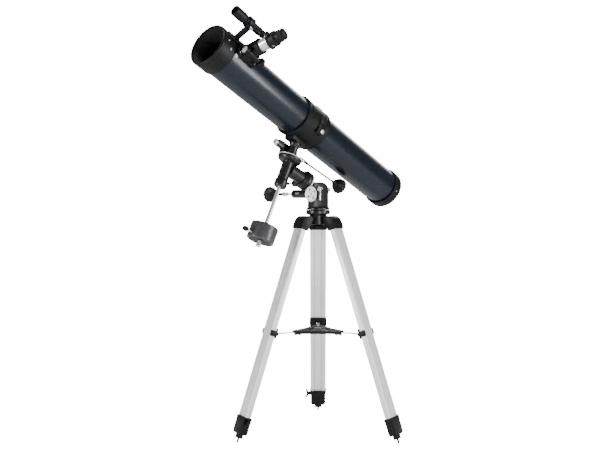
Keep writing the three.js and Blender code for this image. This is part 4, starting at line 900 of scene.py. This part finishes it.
# ---- declination axle ---------------------------------------------------------------------
# A steel axle in a black collar that flares into the flange under the cradle.
FLANGE_TOP = 157.5 - 65.2 - 9
piece("dec_neck", frame_at(Vector(joints["declination"]["pos_m"]), joints["tube_slide"]["axis"],
                           joints["declination"]["axis"]), [
    (turned("z", [(0, -19), (8, -19, 0.8), (8, DISH + 3.1), (13, DISH + 3.1, 0.5), (14, DISH + 6, 1),
                  (14, FLANGE_TOP - 12, 3), (18, FLANGE_TOP - 4, 2), (18, FLANGE_TOP, 0.5),
                  (0, FLANGE_TOP)], 96),
     black_paint),
    (sleeve("z", 13.9, 15.4, 52, 58, 0.6), black_paint),
], "dec_head", "black_paint", "dec_axle")

# ---- tube cradle --------------------------------------------------------------------------
# Two hinged half shells of black moulded plastic with raised lips. The hinge is on the far
# side and a latch with a screw on the near side clamps them on the tube.
tube_place = frame_at(polar @ Vector((0, 0, 157.5)), joints["tube_slide"]["axis"],
                      joints["declination"]["axis"])
CRADLE_R, CRADLE_LIP = 65.2, 66.8
CRADLE_MIDDLE = -2.5
HINGE = -(CRADLE_R + 4.5)


def half_shell(upper):
    shell = turned("x", [(60.6, -53, 0.5), (CRADLE_LIP, -53, 1), (CRADLE_LIP, -49, 1), (CRADLE_R, -47, 1),
                         (CRADLE_R, 42, 1), (CRADLE_LIP, 44, 1), (CRADLE_LIP, 48, 1), (60.6, 48, 0.5)], 160,
                   closed=True)
    keep = block(-80, 80, -90, 90, 0.2, 90, 0) if upper else block(-80, 80, -90, 90, -90, -0.2, 0)
    steps = (-12, 12) if upper else (-24, 0, 24)
    room = [shifted(bar("x", 4.6, CRADLE_MIDDLE + at - 6, CRADLE_MIDDLE + at + 6, 0),
                    y=HINGE) for at in steps]
    return worked(worked(shell, [keep], "INTERSECT"), room)


def hinge_knuckles(upper):
    shapes = []
    for at in ((-24, 0, 24) if upper else (-12, 12)):
        left, right = CRADLE_MIDDLE + at - 5.8, CRADLE_MIDDLE + at + 5.8
        low = 0.2 if upper else -6
        shapes.append(shifted(bar("x", 4, left, right, 0.6, 32), y=HINGE))
        shapes.append(block(left, right, HINGE, HINGE + 6, low, low + 3.8, 0.3))
    return shapes


LATCH_X = -18
ribs = [
    worked(sleeve("x", 61, CRADLE_R + 0.9, at - 1, at + 1, 0.4, 160), [block(-80, 80, -90, 90, 0.2, 90, 0)],
           "INTERSECT")
    for at in (-34, 30)
]
near_lug = [worked(block(LATCH_X - 13, LATCH_X + 13, CRADLE_R - 12, CRADLE_R + 5.5, low, high, 2), [
    bar("x", 62.6, -100, 100, 0, 160)]) for low, high in ((0.4, 22), (-33, -0.4))]
foot = worked(block(-34, 34, -19, 19, -CRADLE_R - 8.6, -56, 1.5), [bar("x", 60.6, -100, 100, 0, 160)])
foot_bolts = [shifted(turned("z", [(0, -3), (4, -3, 0.6), (4, 1), (0, 1)], 6), at, 0, -CRADLE_R - 5.6)
              for at in (-27, 27)]
piece("cradle_lower_shell", tube_place, [
    (half_shell(False), moulded), (foot, moulded), (near_lug[1], moulded),
    *[(shape, moulded) for shape in hinge_knuckles(False)],
    (shifted(bar("x", 1.8, CRADLE_MIDDLE - 32, CRADLE_MIDDLE + 32), y=HINGE), zinc),
    *[(bolt, zinc) for bolt in foot_bolts],
], "dec_head", "black_plastic", "cradle_lower")
lug = worked(block(-48, -18, -14, 14, 57, CRADLE_R + 6, 2), [bar("x", 60.6, -100, 100, 0, 160)])
piece("cradle_upper_shell", tube_place, [
    (half_shell(True), moulded), (lug, moulded), (near_lug[0], moulded), *[(rib, moulded) for rib in ribs],
    *[(shape, moulded) for shape in hinge_knuckles(True)],
], "cradle_upper", "black_plastic", "cradle_upper")
piece("cradle_latch_knob", tube_place @ Matrix.Translation((LATCH_X, 0, -25)), [
    (bar("y", 5, CRADLE_R + 5.9, CRADLE_R + 10.9, 0.8), chrome),
    (turned("y", [(0, CRADLE_R + 9.9), (6, CRADLE_R + 9.9, 0.6), (7, CRADLE_R + 11, 0.6),
                  (7, CRADLE_R + 13.9, 1),
                  (0, CRADLE_R + 14.9)], 48), chrome),
], "cradle_latch", "chrome", "cradle_latch_screw")

# ---- optical tube -------------------------------------------------------------------------
# A rolled steel tube in dark navy metallic paint, flat black inside, with a round port for
# the focuser. A black ring with a rolled lip closes the front.
metallic, given, put = shader_group("metallic paint", [
    ("Color", "NodeSocketColor", (0.02, 0.04, 0.08, 1)),
    ("Flake Color", "NodeSocketColor", (0.05, 0.09, 0.16, 1)),
    ("Roughness", "NodeSocketFloat", 0.3), ("Spread", "NodeSocketFloat", 0.1),
    ("Flakes", "NodeSocketFloat", 1600.0),
], [("Color", "NodeSocketColor"), ("Roughness", "NodeSocketFloat"), ("Height", "NodeSocketFloat")])
where = metallic.nodes.new("ShaderNodeTexCoord").outputs["Object"]
flakes = metallic.nodes.new("ShaderNodeTexVoronoi")
metallic.links.new(where, flakes.inputs["Vector"])
metallic.links.new(given.outputs["Flakes"], flakes.inputs["Scale"])
apart = metallic.nodes.new("ShaderNodeSeparateColor")
metallic.links.new(flakes.outputs["Color"], apart.inputs["Color"])
glint = calculate(metallic, "POWER", apart.outputs["Red"], 3)
orange_peel = noise_at(metallic, where, 240, 2)
haze = noise_at(metallic, where, 7, 3)
metallic.links.new(blended(metallic, glint, given.outputs["Color"], given.outputs["Flake Color"]),
                   put.inputs["Color"])
metallic.links.new(calculate(metallic, "MULTIPLY_ADD", haze, given.outputs["Spread"],
                             given.outputs["Roughness"]),
                   put.inputs["Roughness"])
metallic.links.new(orange_peel, put.inputs["Height"])
navy = finish("navy metallic paint", metallic, {
    "Color": (0.0018, 0.0055, 0.012, 1), "Flake Color": (0.006, 0.014, 0.028, 1), "Roughness": 0.24,
    "Spread": 0.1,
    "Flakes": 1500.0,
}, 0.02, metallic=0.2, coat=0.12, coat_roughness=0.08, specular=0.42)
flat_black = plain("flat black lining", (0.006, 0.006, 0.0065), (0.01, 0.01, 0.01), 0.75, 0.15, 800, 0.1)

TUBE_FRONT, TUBE_REAR = 433.5, -471.5
FOCUSER_X = 338
FOCUSER_TILT = math.radians(67)
port_place = Matrix.Translation((FOCUSER_X, 0, 0)) @ Matrix.Rotation(-FOCUSER_TILT, 4, "X")
skin = worked(sleeve("x", 59.2, 60, TUBE_REAR + 12, TUBE_FRONT - 6, 0.2, 192), [
    moved(bar("z", 22, 20, 100, 0, 64), port_place)])
lining = worked(sleeve("x", 58.4, 59.19, TUBE_REAR + 12, TUBE_FRONT - 6, 0.1, 192), [
    moved(bar("z", 22, 20, 100, 0, 64), port_place)])
piece("painted_tube", tube_place, [(skin, navy), (lining, flat_black)], "tube", "navy_paint", "main_tube")
piece("front_lip_ring", tube_place, [
    (turned("x", [(60.4, TUBE_FRONT - 54, 0.5), (63.6, TUBE_FRONT - 54, 1), (64.2, TUBE_FRONT - 51, 1),
                  (64.2, TUBE_FRONT - 4, 2), (62.4, TUBE_FRONT, 2), (58.4, TUBE_FRONT, 1),
                  (57.4, TUBE_FRONT - 5.5, 1), (60.4, TUBE_FRONT - 5.5)], 192, closed=True), moulded),
    (sleeve("x", 64, 64.7, TUBE_FRONT - 12, TUBE_FRONT - 10, 0.3, 192), moulded),
], "tube", "black_plastic", "front_ring")

# ---- mirror cell --------------------------------------------------------------------------
# The rear casting closes the end of the tube and holds the primary mirror. It shows the heads
# of three thumb screws, with a lock screw beside each.
cell = turned("x", [(0, TUBE_REAR + 4), (20, TUBE_REAR + 4, 2), (24, TUBE_REAR + 3, 2),
                    (40, TUBE_REAR + 3, 2),
                    (43, TUBE_REAR, 1), (57, TUBE_REAR, 3), (62.5, TUBE_REAR + 1.5, 3),
                    (65.2, TUBE_REAR + 7, 4),
                    (65.2, TUBE_REAR + 35, 1), (64.2, TUBE_REAR + 36, 0.6), (60.4, TUBE_REAR + 36, 0.5),
                    (60.4, TUBE_REAR + 11), (53, TUBE_REAR + 11, 1), (51, TUBE_REAR + 8, 1),
                    (0, TUBE_REAR + 8)], 192)


def screw_heads_round_a_circle():
    """Geometry Nodes: equal round screw heads round the Z axis, each with its axis along Z"""
    tree = bpy.data.node_groups.new("screw heads round a circle", "GeometryNodeTree")
    input_socket(tree, "Count", "NodeSocketInt", 3)
    input_socket(tree, "Radius", "NodeSocketFloat", 30.0)
    input_socket(tree, "Start", "NodeSocketFloat", 0.0)
    input_socket(tree, "Height", "NodeSocketFloat", 0.0)
    input_socket(tree, "Head Radius", "NodeSocketFloat", 3.0)
    input_socket(tree, "Head Depth", "NodeSocketFloat", 3.0)
    tree.interface.new_socket("Material", in_out="INPUT", socket_type="NodeSocketMaterial")
    tree.interface.new_socket("Geometry", in_out="OUTPUT", socket_type="NodeSocketGeometry")
    given, put = tree.nodes.new("NodeGroupInput"), tree.nodes.new("NodeGroupOutput")
    points, _ = points_round_a_circle(tree, given)
    head = tree.nodes.new("GeometryNodeMeshCylinder")
    head.inputs["Vertices"].default_value = 28
    tree.links.new(given.outputs["Head Radius"], head.inputs["Radius"])
    tree.links.new(given.outputs["Head Depth"], head.inputs["Depth"])
    crown = tree.nodes.new("GeometryNodeMeshCone")
    crown.inputs["Vertices"].default_value = 28
    tree.links.new(given.outputs["Head Radius"], crown.inputs["Radius Bottom"])
    tree.links.new(calculate(tree, "MULTIPLY", given.outputs["Head Radius"], 0.7), crown.inputs["Radius Top"])
    tree.links.new(calculate(tree, "MULTIPLY", given.outputs["Head Radius"], 0.2), crown.inputs["Depth"])
    lift = tree.nodes.new("ShaderNodeCombineXYZ")
    tree.links.new(calculate(tree, "MULTIPLY", given.outputs["Head Depth"], 0.5), lift.inputs["Z"])
    raised = tree.nodes.new("GeometryNodeTransform")
    tree.links.new(crown.outputs["Mesh"], raised.inputs["Geometry"])
    tree.links.new(lift.outputs["Vector"], raised.inputs["Translation"])
    both = tree.nodes.new("GeometryNodeJoinGeometry")
    tree.links.new(head.outputs["Mesh"], both.inputs["Geometry"])
    tree.links.new(raised.outputs["Geometry"], both.inputs["Geometry"])
    copies = tree.nodes.new("GeometryNodeInstanceOnPoints")
    tree.links.new(points, copies.inputs["Points"])
    tree.links.new(both.outputs["Geometry"], copies.inputs["Instance"])
    return finished_tree(tree, given, put, copies.outputs["Instances"])


screw_circle = screw_heads_round_a_circle()
TO_REAR = Matrix.Rotation(-math.pi / 2, 4, "Y")
thumb_screws = moved(grown(screw_circle, Count=3, Radius=34.0, Height=-TUBE_REAR - 1.0, Material=zinc,
                           **{"Head Radius": 5.0, "Head Depth": 5.0}), TO_REAR)
lock_screws = moved(grown(screw_circle, Count=3, Radius=34.0, Start=0.45, Height=-TUBE_REAR - 2.5,
                          Material=moulded,
                          **{"Head Radius": 2.6, "Head Depth": 3.0}), TO_REAR)
piece("rear_cell", tube_place, [(cell, moulded), (thumb_screws, zinc), (lock_screws, moulded)], "tube",
      "black_plastic", "mirror_cell")


def rim_screw(turn_deg):
    screw = turned("z", [(0, 64.4), (2.6, 64.4), (2.6, 66.4, 0.8), (0, 66.6)], 28)
    return moved(shifted(screw, x=TUBE_REAR + 22), Matrix.Rotation(-math.radians(turn_deg), 4, "X"))


piece("rear_cell_rim_screws", tube_place, [(rim_screw(turn_deg), zinc) for turn_deg in (100, 220, 340)],
      "tube", "black_plastic")

mirror = plain("aluminised mirror", (0.9, 0.92, 0.93), (0.86, 0.88, 0.89), 0.015, 0.02, 400, 0.0,
               metallic=1.0)
ground_glass = plain("ground glass edge", (0.45, 0.52, 0.5), (0.38, 0.45, 0.43), 0.4, 0.15, 900, 0.02)
MIRROR_BACK = TUBE_REAR + 12
FOCAL_LENGTH = 900


def mirror_face(radius):
    return MIRROR_BACK + 12 - (57 ** 2 - radius ** 2) / (4 * FOCAL_LENGTH)


dish_outline = [(radius, mirror_face(radius)) for radius in (56, 48, 40, 32, 24, 16, 8, 0)]
piece("primary_mirror_glass", tube_place, [
    (turned("x", [(0, MIRROR_BACK), (56.2, MIRROR_BACK, 0.8), (57, MIRROR_BACK + 1),
                  (57, mirror_face(57) - 1),
                  (56, mirror_face(56) - 0.01), (0, MIRROR_BACK + 6)], 128), ground_glass),
    (turned("x", [(0, MIRROR_BACK + 7), (56, mirror_face(56) - 0.4)] + dish_outline, 128), mirror),
], "tube", "mirror_glass", "primary_mirror")

# ---- secondary mirror ---------------------------------------------------------------------
# A small oval mirror at 45 degrees on a black holder, carried by three thin vanes.
SPIDER_X = FOCUSER_X + 30
slant = port_place @ Matrix.Rotation(-math.pi / 4, 4, "Y")
stalk = worked(bar("x", 15, FOCUSER_X - 20, SPIDER_X + 1, 0.6, 64),
               [moved(block(-60, 60, -60, 60, 0, 60, 0), slant)])
vanes = [moved(block(SPIDER_X + 8, SPIDER_X + 16, -0.5, 0.5, 4, 57.4, 0.2),
               Matrix.Rotation(i * 2 * math.pi / 3, 4, "X"))
         for i in range(3)]
hub_screws = moved(grown(screw_circle, Count=3, Radius=8.0, Height=SPIDER_X + 24.5, Material=zinc,
                         **{"Head Radius": 1.8, "Head Depth": 1.6}), LAY["x"])
piece("spider_and_holder", tube_place, [
    (stalk, flat_black), (bar("x", 14, SPIDER_X, SPIDER_X + 24, 1, 64), moulded),
    (sleeve("x", 56, 58, SPIDER_X + 6, SPIDER_X + 18, 0.4, 160), flat_black), (hub_screws, zinc),
    *[(vane, flat_black) for vane in vanes],
], "tube", "black_paint", "secondary_spider")
oval = turned("z", [(0, 0.4), (12.8, 0.4, 0.3), (13, 0.8), (13, 4, 0.3), (12.8, 4.4, 0.3), (0, 4.4)], 96)
piece("secondary_mirror_glass", tube_place, [(moved(oval, slant @ Matrix.Diagonal((1.38, 1, 1, 1))), mirror)],
      "tube", "mirror_glass", "secondary_mirror")

# ---- focuser ------------------------------------------------------------------------------
# A moulded saddle screwed to the tube holds a chromed drawtube, with the shaft of two focus
# knobs beside it. The holder at its end clamps the eyepiece with a small screw.
focuser_place = tube_place @ port_place
saddle_base = worked(block(-34, 34, -24, 24, 46, 66, 2.5), [
    bar("x", 60.4, -60, 60, 0, 192), bar("z", 17.9, 30, 80, 0, 112)])
focuser_barrel = worked(
    turned("z", [(17.9, 56), (27, 56), (27, 66, 3), (24, 74, 3), (22.3, 82, 2), (22.3, 112, 1),
                 (23, 113, 0.5),
                 (23, 116, 0.8), (21, 117, 0.5), (17.9, 117)], 112, closed=True),
    [bar("x", 60.4, -60, 60, 0, 192)])
pinion_case = worked(bar("x", 8.5, -25, 20, 1.4, 56),
                     [bar("x", 3.2, -30, 30, 0), shifted(bar("z", 17.9, -40, 60, 0, 96), y=-20.3)])
bridge = worked(block(-20, 20, 4, 20.3, 77, 93, 1),
                [bar("z", 17.9, 40, 120, 0, 96), shifted(bar("x", 3.2, -30, 30, 0),
                                                                                        y=20.3, z=85)])
base_screws = [shifted(turned("z", [(0, 65.4), (3, 65.4), (3, 67.4, 0.9), (0, 67.8)], 28), x, y)
               for x in (-29, 29) for y in (-18, 18)]
case_screws = [shifted(turned("z", [(0, 0), (1.9, 0), (1.9, 1.6, 0.6), (0, 1.6)], 24), x, 23,
                       93) for x in (-14, 14)]
piece("focuser_casting", focuser_place, [
    (saddle_base, moulded), (focuser_barrel, moulded), (shifted(pinion_case, y=20.3, z=85), moulded),
    (bridge, moulded), *[(screw, zinc) for screw in base_screws + case_screws],
], "tube", "black_plastic", "focuser_body")

holder = worked(turned("z", [(16.3, 143, 0.5), (23.5, 143, 1), (23.5, 149, 1), (21.5, 151, 1), (21.5, 167, 1),
                             (20.5, 170, 0.6), (16.3, 170, 0.5)], 112, closed=True),
                [shifted(bar("x", 2.2, 10, 30, 0), z=159)])
side_screw = moved(turned("z", [(0, 20.5), (2.4, 20.5), (2.4, 25, 0.8), (0, 25.4)], 28), LAY["y"])
piece("draw_tube_and_holder", focuser_place, [
    (sleeve("z", 16.3, 17.3, 62, 144, 0.3, 112), chrome), (holder, moulded),
    (sleeve("z", 23.2, 23.9, 144.2, 145.6, 0.3, 112), chrome), (shifted(side_screw, z=159), zinc),
], "draw_tube", "chrome", "draw_tube")
piece("eyepiece_clamp_screw", focuser_place @ Matrix.Translation((0, 0, 159)), [
    (bar("x", 1.8, 17, 27), zinc), (bar("x", 5, 24.5, 32.5, 1), moulded),
    (moved(grown(circle_bars, Count=20, Radius=5.0, Height=28.5, Size=(0.4, 0.5, 6.2), Material=moulded),
           LAY["x"]),
     moulded),
], "eyepiece_screw", "black_plastic", "eyepiece_screw")

coated_glass = plain("coated eye lens", (0.012, 0.02, 0.035), (0.02, 0.03, 0.05), 0.02, 0.03, 300, 0.0,
                     coat=1.0,
                     coat_roughness=0.02)
grey_band = plain("grey eyepiece band", (0.25, 0.25, 0.26), (0.2, 0.2, 0.21), 0.3, 0.1, 700, 0.01,
                  metallic=0.6)
piece("eyepiece_assembly", focuser_place, [
    (sleeve("z", 14.4, 15.875, 144.4, 171, 0.3, 112), chrome),
    (turned("z", [(0, 146), (14.6, 146), (14.6, 168), (0, 168)], 64), flat_black),
    (turned("z", [(0, 170.4), (17.5, 170.4, 0.6), (17.5, 184, 1), (16, 186.4, 1), (16, 190, 0.6),
                  (17, 192, 0.6),
                  (16, 196, 1), (9.4, 196, 1), (8, 193.4), (0, 193.4)], 112), moulded),
    (turned("z", [(0, 192.6), (8, 193.4), (7.4, 194.2), (4, 194.9), (0, 195.2)], 64), coated_glass),
    (sleeve("z", 17.2, 17.7, 173.6, 175.6, 0.2, 112), moulded),
    (grown(circle_bars, Count=60, Radius=17.4, Height=180.0, Size=(0.5, 0.7, 5.6), Material=moulded),
     moulded),
], "eyepiece", "black_plastic", "eyepiece")

knob_parts = [(bar("x", 2.6, -36, 32), zinc)]
for inner_end, outward in ((21.5, 1), (-27, -1)):
    face = Matrix.Translation((inner_end, 0, 0)) @ LAY["x"] @ Matrix.Diagonal((1, 1, outward, 1))
    rim = turned("z", [(0, 0), (11, 0, 1), (13.6, 3, 1), (13.6, 11, 1), (12.2, 13, 1), (10.6, 13, 0.5),
                       (10, 12.2, 0.3), (0, 12.2)], 96)
    disc = turned("z", [(0, 11), (9.8, 11), (9.8, 12.6, 0.4), (0, 12.9)], 72)
    grip = grown(circle_bars, Count=44, Radius=13.5, Height=7.0, Size=(0.8, 0.9, 7.6), Material=moulded)
    for shape, material in ((rim, moulded), (disc, silver_print), (grip, moulded)):
        moved(shape, face)
        bmesh.ops.recalc_face_normals(shape, faces=shape.faces)
        knob_parts.append((shape, material))
piece("focus_knob_pair", focuser_place @ Matrix.Translation((0, 20.3, 85)), knob_parts, "focus_knobs",
      "black_plastic", "focus_knobs")

# ---- finder -------------------------------------------------------------------------------
# A small straight finder in a ring on a stalk, held by one screw in the ring. It has a black
# sunshade, a navy middle and a black eye end.
finder_tilt = joints["finder_tilt"]
tube_way = Vector(joints["tube_slide"]["axis"])
finder_place = frame_at(Vector(finder_tilt["pos_m"]), tube_way, tube_way.cross(Vector(finder_tilt["axis"])))
RING_LOW = -125 + 66
foot_shape = worked(block(-26, 16, -11, 11, -125 + 54, -125 + 68, 2), [
    shifted(bar("x", 64.6, -60, 60, 0, 192), z=-125)])
piece("finder_ring_and_stalk", finder_place, [
    (sleeve("x", 13.5, 17, -10, 7, 0.8, 112), moulded), (block(-17, -4, -7, 7, RING_LOW, -12.6, 2), moulded),
    (foot_shape, moulded), (sleeve("x", 16.7, 17.5, -10, -7.5, 0.4, 112), moulded),
    *[(shifted(turned("z", [(0, -57.4), (2.6, -57.4), (2.6, -55, 0.8), (0, -54.8)], 28), x),
       zinc) for x in (-22, 11)],
], "tube", "black_plastic", "finder_bracket")
FINDER_REAR_END, FINDER_FRONT_END = 336 - 398, 457 - 398
piece("finder_barrel", finder_place, [
    (turned("x", [(0, FINDER_REAR_END + 1.2), (6.6, FINDER_REAR_END + 1.2, 0.3), (7, FINDER_REAR_END, 0.4),
                  (9.5, FINDER_REAR_END, 0.6), (10.6, FINDER_REAR_END + 2, 0.6), (10.6, FINDER_REAR_END + 16),
                  (9.8, FINDER_REAR_END + 16.6), (9.8, FINDER_REAR_END + 18), (0, FINDER_REAR_END + 18)],
                  96), moulded),
    (turned("x", [(0, FINDER_REAR_END + 17), (10.5, FINDER_REAR_END + 17),
                  (11.8, FINDER_REAR_END + 18.6, 1), (11.8, 11),
                  (0, 11)], 96), navy),
    (turned("x", [(0, 10.4), (11.9, 10.4, 0.5), (11.9, 13), (14.5, 19, 3), (15, 24, 1),
                  (15, FINDER_FRONT_END - 3, 1),
                  (14, FINDER_FRONT_END, 0.6), (12.6, FINDER_FRONT_END, 0.4), (12.4, FINDER_FRONT_END - 13.5),
                  (0, FINDER_FRONT_END - 13.6)], 112), moulded),
    (turned("x", [(0, FINDER_FRONT_END - 13.8), (12.3, FINDER_FRONT_END - 13.4), (8, FINDER_FRONT_END - 12.2),
                  (0, FINDER_FRONT_END - 11.8)], 96), coated_glass),
    (turned("x", [(0, FINDER_REAR_END + 0.5), (6.5, FINDER_REAR_END + 1), (6.5, FINDER_REAR_END + 1.8),
                  (0, FINDER_REAR_END + 1.8)], 64), coated_glass),
    (moved(grown(circle_bars, Count=48, Radius=10.6, Height=FINDER_REAR_END + 9.0, Size=(0.4, 0.5, 9.0),
                 Material=moulded), LAY["x"]), moulded),
], "finder", "black_paint", "finder_scope")
piece("finder_centring_screw", finder_place, [
    (bar("y", 1.8, 17.4, 26), zinc), (bar("y", 4.5, 24, 33, 1), zinc),
], "finder_screw", "chrome", "finder_screw")

# ---- small fittings on the tube -----------------------------------------------------------
# Nuts and screws that hold the focuser and the finder's shoe, standing on the painted skin.
def on_skin(x, turn_deg):
    return Matrix.Translation((x, 0, 0)) @ Matrix.Rotation(-math.radians(turn_deg), 4, "X")


white_plastic = plain("white plastic", (0.75, 0.75, 0.75), (0.66, 0.66, 0.66), 0.35, 0.12, 900, 0.02)
fittings = [
    (moved(turned("z", [(0, 59.6), (6, 59.6), (6, 61.4, 0.6), (4, 62.6, 0.6), (0, 62.8)], 40),
           on_skin(372, 93)),
     white_plastic),
    (moved(turned("z", [(0, 63.6), (4.6, 63.6), (4.6, 65.8, 0.5), (2.4, 66.8, 0.4), (0, 67)], 40),
           on_skin(399, 90)),
     grey_band),
    (moved(turned("z", [(0, 63.6), (2.6, 63.6), (2.6, 65.4, 0.6), (0, 65.8)], 32), on_skin(413, 72.5)),
     chrome),
]
piece("tube_screws_and_nuts", tube_place, fittings, "tube", "chrome")
